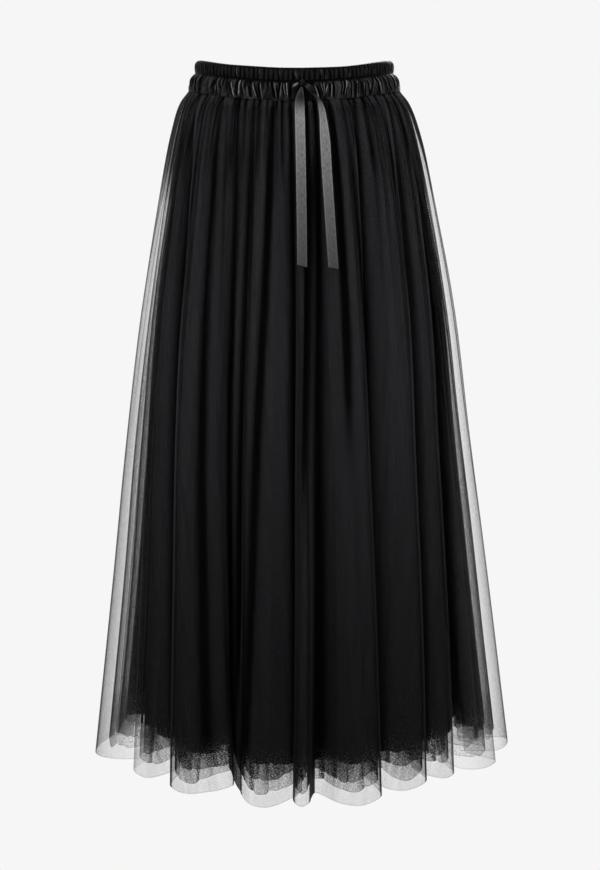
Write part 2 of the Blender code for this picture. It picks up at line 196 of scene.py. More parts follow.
# Small pleats of the layers under the outer net, in the same places in each of them, which come in
# between two drops
PLEATS = 70
PLEAT_SEED = 4.0
PLEAT_DROPS = (0.05, 0.45)

# Where the layers are full. They are bunched where the sine of the angle is under FULL_TO, and
# spread smooth where it is over SMOOTH_FROM, and SPREAD_DOWN widens the smooth part lower down.
# They spread between two drops. Close to the hem even the smooth part is HEM_FULL bunched.
FULL_TO = 0.80
SMOOTH_FROM = 0.94
SPREAD_DOWN = 0.15
SPREAD_DOWN_TO = 0.80
SPREAD_BETWEEN = (0.01, 0.15)
HEM_FULL = 0.08
HEM_FULL_FROM = (0.80, 0.86)

# Cloth that turns away from the front and back comes to look edge on between two slants, and only
# by SMOOTH_EDGE where it is smooth. The plies of the seam look as dense, and end between two drops.
EDGE_SLANTS = (0.40, 0.56)
SMOOTH_EDGE = 0.12
SMOOTH_EDGE_SLANTS = (0.84, 0.95)
SEAM_PLIES = (0.005, 0.014)

# The waistband's painted shadow on the cloth below it. Cloth beside the lining, where light comes
# through from behind, counts as loose and gets painted sparks of light: by LOOSE, which it comes to
# between two distances from the lining.
BAND_SHADE = 0.30
BAND_SHADE_DROPS = (0.0, 0.045)
LOOSE = 0.5
LOOSE_FROM = (0.010, 0.020)

# Rows of the layers' meshes are closest above the drop UPPER_ROWS and in the lowest LOWER_ROWS, and
# the last but one is LAST_ROW above the hem. ROW_COUNTS are for the upper part, the middle and the
# lower part. WELD closes the seams of meshes, and SEAM_RADIUS turns angles into distances from a
# side seam.
UPPER_ROWS = 0.16
LOWER_ROWS = 0.12
LAST_ROW = 0.0012
ROW_COUNTS = (22, 20, 15)
WELD = 1e-6
SEAM_RADIUS = 0.25

# Rows of the waistband, from its lower edge up: height, oval outside, and how thick it is
BandRow = namedtuple("BandRow", "height half_width half_depth thick")
BAND_ROWS = (
    BandRow(BAND_BOTTOM, 0.1402, 0.1090, 0.0082),
    BandRow(-0.0190, 0.1401, 0.1090, 0.0062),
    BandRow(-0.0127, 0.1391, 0.1079, 0.0045),
    BandRow(-0.0090, 0.1384, 0.1068, 0.0042),
    BandRow(-0.0055, 0.1366, 0.1051, 0.0038),
    BandRow(-0.0030, 0.1345, 0.1032, 0.0032),
    BandRow(-0.0012, 0.1322, 0.1012, 0.0026),
    BandRow(0.0000, 0.1311, 0.1002, 0.0022),
    BandRow(0.0015, 0.1315, 0.1009, 0.0026),
    BandRow(0.0047, 0.1319, 0.1018, 0.0032),
    BandRow(0.0100, 0.1319, 0.1018, 0.0032),
    BandRow(0.0135, 0.1308, 0.1007, 0.0028),
    BandRow(0.0155, 0.1288, 0.0988, 0.0020),
    BandRow(0.0163, 0.1270, 0.0971, 0.0012),
    BandRow(0.0166, 0.1250, 0.0952, 0.0005),
)

# Columns of the waistband's mesh
BAND_COLUMNS = 2000

# The upper row's fine puckers, and the soft ripples between the lower row's deep ones
UPPER_ROW = 0.0165
UPPER_PUCKERS = 124
UPPER_DEPTH = 0.0013
RIPPLES = 61
RIPPLE_HEIGHT = 0.0005

# Deep puckers of the lower row on the front, each from an angle near the seam to an angle lower
# down, between two shares of the row's height, with a half width in degrees, a depth and how
# bright a painted gleam runs along its right side, or its left side if negative. They come again on
# the back, half a turn round, and the last ones lie at the sides.
Slit = namedtuple("Slit", "start end top bottom width depth gleam")
SLITS = (
    Slit(-63.3, -60.5, 0.01, 0.95, 0.97, 0.0020, 0.0),
    Slit(-49.7, -51.3, 0.29, 0.72, 0.55, 0.0016, -0.3),
    Slit(-48.3, -48.0, 0.22, 0.84, 0.73, 0.0018, 0.5),
    Slit(-47.8, -44.8, 0.05, 0.99, 0.55, 0.0020, 0.4),
    Slit(-44.4, -43.2, 0.11, 0.64, 0.52, 0.0016, 0.4),
    Slit(-42.1, -41.7, 0.07, 0.46, 0.44, 0.0014, 0.2),
    Slit(-40.0, -38.1, 0.04, 0.66, 0.35, 0.0012, 0.0),
    Slit(-37.8, -34.1, 0.18, 0.99, 0.57, 0.0020, 0.8),
    Slit(-32.7, -32.0, 0.02, 0.93, 0.83, 0.0022, 0.7),
    Slit(-30.1, -27.3, 0.09, 0.91, 0.37, 0.0016, 0.4),
    Slit(-27.5, -27.1, 0.11, 0.53, 0.43, 0.0014, 0.2),
    Slit(-24.4, -24.3, 0.03, 0.35, 0.30, 0.0012, 0.0),
    Slit(-24.4, -23.3, 0.35, 0.96, 0.89, 0.0020, -0.3),
    Slit(-22.4, -19.3, 0.11, 0.95, 0.38, 0.0018, -0.6),
    Slit(-19.6, -17.7, 0.13, 0.97, 0.46, 0.0018, 0.6),
    Slit(-17.3, -16.1, 0.13, 0.38, 0.34, 0.0014, 0.2),
    Slit(-14.6, -14.1, 0.01, 0.33, 0.45, 0.0016, 0.5),
    Slit(-12.3, -9.9, 0.01, 0.95, 0.55, 0.0022, 0.3),
    Slit(-9.3, -8.6, 0.20, 0.90, 0.33, 0.0016, 0.2),
    Slit(-7.7, -8.4, 0.01, 0.94, 0.49, 0.0018, 0.5),
    Slit(-6.5, -5.1, 0.11, 0.85, 0.35, 0.0016, 0.4),
    Slit(-4.7, -3.9, 0.01, 0.85, 0.27, 0.0014, 1.0),
    Slit(-1.9, -2.2, 0.05, 0.85, 0.59, 0.0020, 0.0),
    Slit(12.1, 14.2, 0.20, 0.96, 0.50, 0.0020, -0.9),
    Slit(14.2, 14.8, 0.11, 0.75, 0.33, 0.0014, 0.6),
    Slit(16.0, 15.3, 0.09, 0.87, 0.28, 0.0014, 0.9),
    Slit(17.5, 15.9, 0.22, 0.76, 0.39, 0.0014, 0.8),
    Slit(19.8, 18.8, 0.15, 0.89, 0.57, 0.0020, 0.6),
    Slit(21.9, 21.4, 0.11, 0.91, 0.52, 0.0020, 0.2),
    Slit(27.2, 25.4, 0.05, 0.81, 0.36, 0.0016, 0.3),
    Slit(29.4, 26.9, 0.03, 0.83, 0.55, 0.0020, 0.8),
    Slit(29.4, 28.4, 0.44, 0.94, 0.37, 0.0014, 0.3),
    Slit(32.9, 31.4, 0.07, 0.99, 0.38, 0.0016, 0.3),
    Slit(35.5, 34.2, 0.15, 0.99, 0.66, 0.0020, 0.5),
    Slit(36.9, 35.9, 0.25, 0.90, 0.40, 0.0014, 0.2),
    Slit(40.1, 39.5, 0.24, 0.85, 0.49, 0.0016, 0.4),
    Slit(42.3, 40.9, 0.21, 0.78, 0.36, 0.0012, 0.2),
    Slit(44.0, 44.1, 0.18, 0.91, 0.60, 0.0018, 0.4),
    Slit(49.0, 44.6, 0.05, 0.97, 0.63, 0.0018, 0.2),
    Slit(51.3, 52.8, 0.04, 0.99, 0.79, 0.0020, 0.5),
    Slit(55.2, 54.8, 0.02, 0.74, 0.57, 0.0014, 0.3),
    Slit(58.3, 60.6, 0.05, 0.95, 0.74, 0.0016, 0.3),
    Slit(62.0, 64.8, 0.11, 0.89, 0.72, 0.0014, 0.4),
    Slit(68.7, 71.3, 0.07, 0.88, 1.03, 0.0016, 0.4),
    Slit(76.5, 76.3, 0.05, 0.85, 0.88, 0.0012, 0.3),
    Slit(82.0, 83.5, 0.05, 0.95, 0.80, 0.0018, 0.4),
    Slit(87.5, 87.0, 0.10, 0.70, 0.60, 0.0014, 0.2),
    Slit(91.5, 93.0, 0.02, 0.98, 0.90, 0.0020, -0.5),
    Slit(97.0, 96.0, 0.08, 0.80, 0.60, 0.0016, 0.3),
    Slit(101.5, 103.0, 0.05, 0.95, 0.80, 0.0018, 0.6),
    Slit(107.5, 107.0, 0.03, 0.60, 0.60, 0.0014, 0.2),
    Slit(111.0, 112.5, 0.10, 0.96, 0.80, 0.0018, 0.4),
)

# A painted gleam's place beside its pucker and its width, both in half widths of the pucker, how
# bright it is, and how dark the painted shade in the pucker itself is
GLEAM_BESIDE = 1.8
GLEAM_WIDTH = 0.6
PAINTED_GLEAM_BRIGHT = 0.75
SLIT_PAINTED_SHADE = 0.60

# The lower row gets the painted shadow of the bow round one angle, the upper row stands higher round
# another, and both get painted shade at the sides. The lower edge sinks a little between its gathers.
BowPaintedShadow = namedtuple("BowPaintedShadow", "middle half_width depth")
BOW_PAINTED_SHADOW = BowPaintedShadow(5.0, 7.0, 0.75)
TopRise = namedtuple("TopRise", "middle half_width height")
TOP_RISE = TopRise(-6.0, 31.0, 0.0018)
SIDE_SHADE = 0.55
SCALLOP = 0.0006
SCALLOP_FROM = 0.015

# The inside of the waistband: how much of the outside's puckers it has, and its tone
INSIDE_PUCKER = 0.45
INSIDE_TONE = 0.2

# Stitches along the seam of the waistband, with the half step in degrees that gives their direction
STITCHES = 200
STITCH_LENGTH = 0.0026
STITCH_RADIUS = 0.00028
STITCH_PROUD = 0.0002
STITCH_STEP = 0.4

# The three nets, from the outside in: how much the holes and the threads hide of what lies behind,
# how many times more they hide where the net is bunched and at its hem, how bright its painted
# sparks of light are, and its colour
Net = namedtuple("Net", "name hole thread fill hem_fill spark colour")
NETS = (
    Net("net_outer", 0.035, 0.48, 1.4, 1.7, 0.10, (0.0185, 0.0185, 0.0202)),
    Net("net_middle", 0.042, 0.45, 18.0, 5.6, 0.80, (0.0175, 0.0175, 0.0192)),
    Net("net_inner", 0.050, 0.50, 30.0, 14.0, 0.80, (0.0165, 0.0165, 0.0180)),
)

# The net's mesh: the size of a cell, and how wide its threads are in it
NET_CELL = 0.0018
NET_THREAD = 0.08

# Small clear specks, clearer with the net's fill up to SPECK_FILL, and painted sparks of light
SPECK_SIZE = 0.0017
SPECK_CLEAR = 0.34
SPECK_FILL = 2.0
SPARK_SIZE = 0.0034
PAINTED_SPARK_COLOUR = (0.26, 0.26, 0.26)

# HEM_FADE is the height above the hem where a bunched layer comes to its full density, EDGE_FILL
# how many times more it hides where it is turned edge on, and MOST_DENSE the most that it hides
# seen square on. SLANT_POWER says how much more a slant hides, down to the cosine SLANT_LEAST, and
# NET_DEEP is the share of the net's colour that is left in the painted shade down in a fold.
HEM_FADE = 0.045
EDGE_FILL = 16.0
MOST_DENSE = 0.93
SLANT_LEAST = 0.07
SLANT_POWER = 1.4
NET_DEEP = 0.03

# Colours of the other cloths: for the lining, band and ribbon in painted shade and in painted light,
# for the thread two tones of its grain
LINING_COLOURS = ((0.0003, 0.0003, 0.0004), (0.015, 0.015, 0.0170))
BAND_COLOURS = ((0.0002, 0.0002, 0.0002), (0.30, 0.30, 0.30))
RIBBON_COLOURS = ((0.001, 0.001, 0.001), (0.150, 0.150, 0.154))
THREAD_COLOURS = ((0.0042, 0.0042, 0.0049), (0.006, 0.006, 0.007))

# Routes of the ribbon's stretches, each from the knot outwards, with the ribbon's width there and
# how much painted light its colour has
RibbonPoint = namedtuple("RibbonPoint", "x y z width lit")
LEFT_TAIL = (
    RibbonPoint(0.0098, -0.1100, -0.0205, 0.0030, 0.00),
    RibbonPoint(0.0092, -0.1122, -0.0262, 0.0052, 0.04),
    RibbonPoint(0.0083, -0.1127, -0.0310, 0.0082, 0.00),
    RibbonPoint(0.0076, -0.1129, -0.0360, 0.0108, 0.00),
    RibbonPoint(0.0073, -0.1134, -0.0410, 0.0119, 0.14),
    RibbonPoint(0.0072, -0.1165, -0.0520, 0.0122, 0.62),
    RibbonPoint(0.0076, -0.1238, -0.0650, 0.0124, 0.92),
    RibbonPoint(0.0080, -0.1288, -0.0840, 0.0124, 0.84),
    RibbonPoint(0.0084, -0.1333, -0.1027, 0.0124, 0.74),
    RibbonPoint(0.0087, -0.1370, -0.1216, 0.0124, 0.64),
    RibbonPoint(0.0090, -0.1404, -0.1406, 0.0124, 0.54),
    RibbonPoint(0.0093, -0.1435, -0.1595, 0.0124, 0.46),
    RibbonPoint(0.0096, -0.1465, -0.1784, 0.0124, 0.40),
    RibbonPoint(0.0099, -0.1496, -0.1973, 0.0124, 0.34),
    RibbonPoint(0.0101, -0.1527, -0.2162, 0.0124, 0.28),
    RibbonPoint(0.0103, -0.1552, -0.2325, 0.0124, 0.24),
    RibbonPoint(0.0104, -0.1577, -0.2489, 0.0124, 0.20),
)
RIGHT_TAIL = (
    RibbonPoint(0.0132, -0.1095, -0.0200, 0.0026, 0.00),
    RibbonPoint(0.0185, -0.1120, -0.0255, 0.0026, 0.00),
    RibbonPoint(0.0244, -0.1128, -0.0310, 0.0026, 0.00),
    RibbonPoint(0.0302, -0.1128, -0.0375, 0.0032, 0.04),
    RibbonPoint(0.0343, -0.1138, -0.0467, 0.0070, 0.45),
    RibbonPoint(0.0370, -0.1192, -0.0620, 0.0090, 0.85),
    RibbonPoint(0.0385, -0.1234, -0.0775, 0.0110, 0.90),
    RibbonPoint(0.0398, -0.1272, -0.0925, 0.0124, 0.84),
    RibbonPoint(0.0407, -0.1304, -0.1096, 0.0126, 0.76),
    RibbonPoint(0.0416, -0.1334, -0.1267, 0.0126, 0.68),
    RibbonPoint(0.0429, -0.1366, -0.1460, 0.0126, 0.60),
    RibbonPoint(0.0442, -0.1397, -0.1659, 0.0126, 0.50),
    RibbonPoint(0.0456, -0.1430, -0.1867, 0.0126, 0.42),
    RibbonPoint(0.0470, -0.1463, -0.2075, 0.0126, 0.34),
    RibbonPoint(0.0485, -0.1497, -0.2295, 0.0126, 0.27),
    RibbonPoint(0.0501, -0.1531, -0.2516, 0.0126, 0.20),
)
LEFT_LOOP = (
    RibbonPoint(0.0060, -0.1118, -0.0180, 0.0040, 0.05),
    RibbonPoint(0.0035, -0.1146, -0.0190, 0.0030, 0.70),
    RibbonPoint(0.0008, -0.1156, -0.0202, 0.0034, 0.75),
    RibbonPoint(-0.0018, -0.1152, -0.0213, 0.0048, 0.10),
    RibbonPoint(-0.0027, -0.1140, -0.0218, 0.0080, 0.00),
    RibbonPoint(-0.0018, -0.1130, -0.0213, 0.0080, 0.00),
    RibbonPoint(0.0008, -0.1125, -0.0202, 0.0080, 0.00),
    RibbonPoint(0.0035, -0.1118, -0.0190, 0.0066, 0.00),
    RibbonPoint(0.0060, -0.1094, -0.0180, 0.0040, 0.00),
)
RIGHT_LOOP = (
    RibbonPoint(0.0145, -0.1132, -0.0193, 0.0034, 0.00),
    RibbonPoint(0.0172, -0.1156, -0.0212, 0.0058, 0.06),
    RibbonPoint(0.0212, -0.1166, -0.0250, 0.0074, 0.02),
    RibbonPoint(0.0243, -0.1160, -0.0283, 0.0074, 0.00),
    RibbonPoint(0.0252, -0.1150, -0.0292, 0.0074, 0.00),
    RibbonPoint(0.0242, -0.1142, -0.0282, 0.0074, 0.00),
    RibbonPoint(0.0208, -0.1136, -0.0246, 0.0074, 0.00),
    RibbonPoint(0.0172, -0.1128, -0.0212, 0.0058, 0.00),
    RibbonPoint(0.0145, -0.1110, -0.0193, 0.0034, 0.00),
)

# The way across the ribbon in each loop, the ribbon's own sizes, and the rows of its meshes
LEFT_LOOP_ACROSS = (0.30, 0.0, 0.95)
RIGHT_LOOP_ACROSS = (0.66, 0.0, 0.75)
RIBBON_WALL = 0.0005
RIBBON_CROWN = 0.0006
RIBBON_END_SLANT = 0.0030
RIBBON_END = 0.012
RIBBON_COLUMNS = 9
LOOP_ROWS = 40
TAIL_ROWS = 90
KNOT_CENTRE = (0.0102, -0.1090, -0.0175)
KNOT_HALF_SIZE = (0.0045, 0.0048, 0.0050)


# Reading tables

def smooth_through(places, values, at):
    """Reads a table at any place, along one smooth curve through its rows."""
    places, values, at = (np.asarray(item, float) for item in (places, values, at))
    steps = np.diff(values) / np.diff(places)
    slopes = np.concatenate([steps[:1], (steps[:-1] + steps[1:]) / 2, steps[-1:]])
    i = np.clip(np.searchsorted(places, at, side="right") - 1, 0, len(places) - 2)
    width = places[i + 1] - places[i]
    t = (at - places[i]) / width
    low = values[i] * (1 + 2 * t) + slopes[i] * width * t
    high = values[i + 1] * (3 - 2 * t) - slopes[i + 1] * width * (1 - t)
    return low * (1 - t) ** 2 + high * t ** 2


def ring_column(name, drops):
    """One measure of the outer net's rings, at any drop."""
    return smooth_through([r.drop for r in RINGS], [getattr(r, name) for r in RINGS], drops)


def band_column(name, heights):
    """One measure of the waistband's rows, at any height."""
    return smooth_through([r.height for r in BAND_ROWS], [getattr(r, name) for r in BAND_ROWS], heights)


def fade(at, start, end):
    """0 before start, 1 after end and a soft step between."""
    t = np.clip((at - start) / (end - start), 0.0, 1.0)
    return t * t * (3 - 2 * t)


def apart(angles, middle):
    """How far angles lie from a middle one, the short way round."""
    return (angles - middle + 180.0) % 360.0 - 180.0


def dip(angles):
    """How far the waistline sinks at the centre front and at the centre back."""
    facing = np.cos(np.radians(angles))
    return -np.where(facing > 0, FRONT_DIP, BACK_DIP) * facing * facing


def round_wave(angles, counts, seed):
    """An irregular wave that closes on itself all round, between -1 and 1."""
    turn = np.radians(angles)
    return sum(np.sin(n * turn + seed * (1.3 + 0.7 * k)) for k, n in enumerate(counts)) / len(counts)


def wobble(a, b, seed):
    """An even-tempered irregular wave of two places, between about -1 and 1."""
    total = 0.0
    for k in range(4):
        turn = seed * (1.7 + 0.9 * k)
        total = total + np.sin(a * (1.0 + 0.73 * k) + 1.9 * np.sin(b * (0.9 + 0.37 * k) + turn) + turn)
    return total / 3.0


# Folds

def fold_points(fold):
    """The hem of one fold from its left edge to its right edge, as angle, reach and lift."""
    middle, half = (fold.left + fold.right) / 2, (fold.right - fold.left) / 2
    points = []
    for step in range(-FOLD_STEPS, FOLD_STEPS + 1):
        swing = math.radians(FOLD_SWING * step)
        square = fold.square_left if step < 0 else fold.square_right
        angle = middle + half * math.copysign(abs(math.sin(swing)) ** (2 / square), step)
        reach = fold.out * math.cos(swing) ** (2 / square)
        edge, edge_lift = (fold.left, fold.lift_left) if angle < fold.low else (fold.right, fold.lift_right)
        rise = min(abs((angle - fold.low) / (edge - fold.low)), 1.0) ** 1.5
        points.append((angle, reach, fold.lift_low + (edge_lift - fold.lift_low) * rise))
    return points + [(fold.valley, -fold.deep, fold.valley_lift)]


def make_hem():
    """Every point of the hem, once round: where its cloth starts at the waist, angle, reach and lift.

    Between two valleys the cloth is shared out evenly along the hem."""
    last = FOLDS[-1]
    before = (last.valley - 360.0, -last.deep, last.valley_lift)
    begin = last.start - 360.0
    rows = [(begin, *before)]
    for fold in FOLDS:
        points = np.array([before] + fold_points(fold))
        places = np.stack([np.radians(points[:, 0]) * HEM_RADIUS, points[:, 1], points[:, 2]], axis=-1)
        length = np.concatenate([[0.0], np.cumsum(np.linalg.norm(np.diff(places, axis=0), axis=1))])
        share = length / length[-1]
        start = begin + (fold.start - begin) * share
        rows += [(b, *point) for b, point in zip(start[1:], points[1:])]
        before, begin = tuple(points[-1]), fold.start
    return np.array(rows)


HEM = make_hem()


def hem_at(angles):
    """Angle, reach and lift of the hem of the cloth that starts at each angle of the waist."""
    base = (angles - HEM[0, 0]) % 360.0 + HEM[0, 0]
    turned, reach, lift = (smooth_through(HEM[:, 0], HEM[:, k], base) for k in (1, 2, 3))
    return turned + (angles - base), reach, lift


def hanging_angles(layer, angles, drops):
    """Where the cloth that starts at each angle hangs, and the reach and lift of its hem."""
    hem_angle, reach, lift = hem_at(angles)
    low = drops / HEM_DROP
    lean = (hem_angle - angles) * layer.turn * low ** 0.8
    return angles + lean + 0.35 * round_wave(angles, (7, 12, 19), 2.0) * low, reach, lift


def widening(drops):
    """Creases start narrow at the waistband and are at their full width a little lower down."""
    return 0.5 + 0.5 * fade(drops, 0.0, NARROW_ABOVE)


def valley_field(angles, drops):
    """1 along the bottom of each valley between two folds and 0 out on the folds."""
    nearest = np.min([np.abs(apart(angles, fold.start)) for fold in FOLDS], axis=0)
    return 1 - fade(nearest / widening(drops), VALLEY_FLOOR, VALLEY_HALF_WIDTH)


def crease_field(angles, drops):
    """Depth of the creases at the angles where the cloth hangs."""
    low = drops / HEM_DROP
    total = np.zeros(np.broadcast(angles, drops).shape)
    for crease in CREASES:
        middle = crease.start + (crease.end - crease.start) * low
        shape = np.exp(-(apart(angles, middle) / (crease.width * widening(drops))) ** 2)
        fades_from = max(crease.bottom - CREASE_OUT, 0.4 * crease.bottom)
        along = fade(drops, crease.top - CREASE_IN, crease.top)
        along = along * (1 - fade(drops, fades_from, crease.bottom))
        total -= crease.depth * shape * along
    return total


def uneven_steps(count, seed):
    """Starting angles, heights and reaches of small repeated folds, uneven all round."""
    index = np.arange(count)
    starts = (index + 0.34 * np.sin(index * 2.39 + seed)) * 360.0 / count - 90.0
    heights = 0.75 + 0.40 * np.sin(index * 1.71 + 2 * seed)
    reach = 0.62 + 0.38 * np.sin(index * 3.11 + 3 * seed)
    return starts, heights, reach


def between_steps(count, seed, angles):
    """For each angle, its share of the way through its small fold, and that fold's height and reach."""
    starts, heights, reach = uneven_steps(count, seed)
    starts = np.append(starts, starts[0] + 360.0)
    wrapped = (angles - starts[0]) % 360.0 + starts[0]
    i = np.clip(np.searchsorted(starts, wrapped, side="right") - 1, 0, count - 1)
    share = (wrapped - starts[i]) / (starts[i + 1] - starts[i])
    j = (i + 1) % count
    ease = fade(share, 0.0, 1.0)
    return share, heights[i] + (heights[j] - heights[i]) * ease, reach[i] + (reach[j] - reach[i]) * ease


def gather_field(layer, angles, drops):
    """Height of the fine gathers, which die out one after another down the skirt, and how dark their painted
    shade is.
    """
    share, height, reach = between_steps(GATHERS, layer.seed, angles)
    last = GATHER_REACH * reach
    trough = (1 - np.abs(np.sin(np.pi * share)) ** 0.9) ** 2.0
    grown = 0.50 + 0.50 * fade(drops, 0.0, GATHER_GROWN)
    size = height * grown * (1 - fade(drops, 0.25 * last, last))
    return layer.gather * (1 - 2 * trough) * size, trough * size


def pleat_field(layer, angles, drops):
    """Depth of the small pleats of the layers under the outer net."""
    share, height, _ = between_steps(PLEATS, PLEAT_SEED, angles)
    return -layer.pleat * height * (0.5 + 0.5 * np.cos(2 * np.pi * share)) * fade(drops, *PLEAT_DROPS)


def small_folds(layer, seen, drops):
    """Small overlapping folds of an inner net near its hem: how far each lifts it, how far through
    the fold each place lies, and the dark line down its edge."""
    if not layer.small:
        return 0.0, 0.5, 0.0
    share, _, reach = between_steps(layer.small, layer.seed, seen)
    lift = SMALL_LIFT * (np.abs(2 * share - 1) ** 5 + 1.6 * (reach - 0.6) * (share - 0.5))
    line = fade(share, 0.88, 0.95) * (1 - fade(share, 0.97, 1.0)) * fade(drops, 0.60, 0.80)
    return lift, share, line


def fullness(angles, drops):
    """How bunched the layers are: gathered all round at the waist, and lower down spread smooth at
    the two sides and full of pleats elsewhere."""
    sine = np.abs(np.sin(np.radians(angles))) + SPREAD_DOWN * fade(drops, 0.0, SPREAD_DOWN_TO)
    return 1.0 - fade(sine, FULL_TO, SMOOTH_FROM) * fade(drops, *SPREAD_BETWEEN)


def ways_out(x, y):
    """The level way out of a closed ring of cloth at each point of its rows."""
    steps = []
    for place in (x[:, :-1], y[:, :-1]):
        step = np.roll(place, -1, axis=1) - np.roll(place, 1, axis=1)
        steps.append(sum(np.roll(step, k, axis=1) for k in range(-3, 4)))
    length = np.hypot(*steps)
    return [np.concatenate([way, way[:, :1]], axis=1) for way in (steps[1] / length, -steps[0] / length)]


def straight_in(layer, drops):
    """The part of a layer's distance inside that is measured straight through the cloth."""
    return layer.close * fade(drops, *CLOSE_DROPS)


def layer_inset(layer, seen, drops):
    """How far towards the middle a layer hangs inside the outer one: less down the front and back
    than at the sides."""
    if layer is LAYERS[0]:
        return 0.0
    front = 1 - (1 - FRONT_INSET) * fade(drops, *FRONT_INSET_DROPS)
    inset = ring_column(layer.name.split("_")[-1], drops)
    sideways = np.sin(np.radians(seen)) ** (8 if layer.small else 4)
    return inset * (front + (1 - front) * sideways) - straight_in(layer, drops)


def painted_light_field(angles, drops, gather_dim, crease):
    """Painted light of the cloth's colour: painted shade in its valleys, gathers and creases, and painted
    shadow just under the waistband."""
    valley = valley_field(angles, drops) * fade(drops, *VALLEY_IN)
    # Painted shade in valleys, gathers and creases, and painted shadow under the waistband
    dim = valley + GATHER_DIM * gather_dim - crease / DIM_DEPTH
    dim = dim + BAND_SHADE * (1 - fade(drops, *BAND_SHADE_DROPS))
    return np.clip(1 - dim, 0, 1)


def edge_field(full, line, out_y, drops):
    """How far the cloth looks edge on from the front or back, also on the small folds' dark lines
    and where the seam's plies lie."""
    slanted = 1 - np.abs(out_y)
    smooth = SMOOTH_EDGE * (1 - full) * fade(slanted, *SMOOTH_EDGE_SLANTS)
    edge = full * np.maximum(fade(slanted, *EDGE_SLANTS), line) + smooth
    return np.maximum(edge, 1 - fade(drops, *SEAM_PLIES))


def painted_backlight_field(x, drops):
    """How far the cloth lies beside the lining, where painted sparks show light through it from behind."""
    beside = np.abs(x - ring_column("drift", drops)) - ring_column("half_width", drops)
    return LOOSE * fade(beside + ring_column("lining", drops), *LOOSE_FROM)


def cloth_field(layer, angles, drops):
    """Points of a layer, and for each its painted light (painted shade in folds and under the waistband),
    how bunched it is, how far it looks edge on, and how far it lies beside the lining."""
    seen, reach, lift = hanging_angles(layer, angles, drops)
    full = fullness(seen, drops)
    gather, gather_dim = gather_field(layer, angles, drops)
    crease = crease_field(seen, drops)
    pleat = pleat_field(layer, angles, drops) * full
    small_lift, share, line = small_folds(layer, seen, drops)
    follow = reach * ring_column("fold", drops) * layer.share
    inset = layer_inset(layer, seen, drops)
    turned = np.radians(seen)
    x = (ring_column("half_width", drops) + follow - inset) * np.sin(turned) + ring_column("drift", drops)
    y = -(ring_column("half_depth", drops) + follow - inset) * np.cos(turned)
    out_x, out_y = ways_out(x, y)
    outward = gather + crease * layer.share + pleat - straight_in(layer, drops)
    wave = layer.wave * (1 + round_wave(seen, WAVE_COUNTS, layer.seed))
    rise = lift * layer.share - 0.5 * pleat + wave + small_lift
    z = BAND_BOTTOM - SEAM_GAP + dip(seen) - drops + rise * ring_column("lift", drops)
    points = np.stack([x + out_x * outward, y + out_y * outward, z], axis=-1)
    light = painted_light_field(angles, drops, gather_dim, crease)
    bunched = np.maximum(full, HEM_FULL * fade(drops, *HEM_FULL_FROM)) * (0.6 + 0.8 * share)
    return points, light, bunched, edge_field(full, line, out_y, drops), painted_backlight_field(x, drops)


def row_drops(hem):
    """Drops of the rows of a layer: close together at the gathers and at the hem."""
    upper = UPPER_ROWS * np.linspace(0, 1, ROW_COUNTS[0]) ** 1.5
    middle = np.linspace(UPPER_ROWS, hem - LOWER_ROWS, ROW_COUNTS[1])[1:]
    lower = np.linspace(hem - LOWER_ROWS, hem - LAST_ROW, ROW_COUNTS[2])[1:]
    return np.concatenate([upper, middle, lower, [hem]])


# Meshes

def grid_mesh(name, points, uv):
    """A grid of faces whose points are placed by an array of rows and columns."""
    rows, columns = points.shape[:2]
    bm = bmesh.new()
    bmesh.ops.create_grid(bm, x_segments=columns - 1, y_segments=rows - 1, size=0.5)
    mesh = bpy.data.meshes.new(name)
    bm.to_mesh(mesh)
    bm.free()
    flat = np.empty(len(mesh.vertices) * 3, np.float32)
    mesh.vertices.foreach_get("co", flat)
    flat = flat.reshape(-1, 3)
    column = np.rint((flat[:, 0] + 0.5) * (columns - 1)).astype(int)
    row = np.rint((flat[:, 1] + 0.5) * (rows - 1)).astype(int)
    mesh.vertices.foreach_set("co", points[row, column].astype(np.float32).ravel())
    corner = np.empty(len(mesh.loops), np.int32)
    mesh.loops.foreach_get("vertex_index", corner)
    layer = mesh.uv_layers.new(name="cloth")
    layer.data.foreach_set("uv", uv[row[corner], column[corner]].astype(np.float32).ravel())
    return mesh, row, column


def add_attribute(mesh, name, values):
    attribute = mesh.attributes.new(name, "FLOAT", "POINT")
    attribute.data.foreach_set("value", values.astype(np.float32))


def finish_mesh(mesh, open_ends=False):
    """Welds the closing seam, sets the faces to look outwards and shades them smooth."""
    bm = bmesh.new()
    bm.from_mesh(mesh)
    bmesh.ops.remove_doubles(bm, verts=list(bm.verts), dist=WELD)
    bmesh.ops.recalc_face_normals(bm, faces=list(bm.faces))
    if open_ends:
        outward = sum(f.calc_center_median().to_2d().dot(f.normal.to_2d()) for f in bm.faces)
        if outward < 0:
            bmesh.ops.reverse_faces(bm, faces=list(bm.faces))
    bm.to_mesh(mesh)
    bm.free()
    mesh.shade_smooth()


def mesh_from(bm, name):
    """A smooth mesh of a finished shape that needs no cloth coordinates of its own."""
    mesh = bpy.data.meshes.new(name)
    bm.loops.layers.uv.new("cloth")
    bm.to_mesh(mesh)
    bm.free()
    mesh.shade_smooth()
    return mesh


def add_piece(name, mesh, material, nodes):
    """Puts a mesh into the scene in place of the solids that it replaces, if any."""
    mesh.materials.append(material)
    piece = bpy.data.objects.new(name, mesh)
    bpy.context.scene.collection.objects.link(piece)
    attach(piece, "root")
    if nodes:
        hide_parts(*nodes)
    return piece


def cloth_uv(points, drops):
    """Where each point lies on the flat cloth, in metres: along the row from the centre, and down."""
    step = np.linalg.norm(np.diff(points, axis=1), axis=2)
    along = np.concatenate([np.zeros((len(points), 1)), np.cumsum(step, axis=1)], axis=1)
    along -= along[:, -1:] / 2
    down = np.broadcast_to(-np.asarray(drops)[:, None], along.shape)
    return np.stack([along, down], axis=-1)


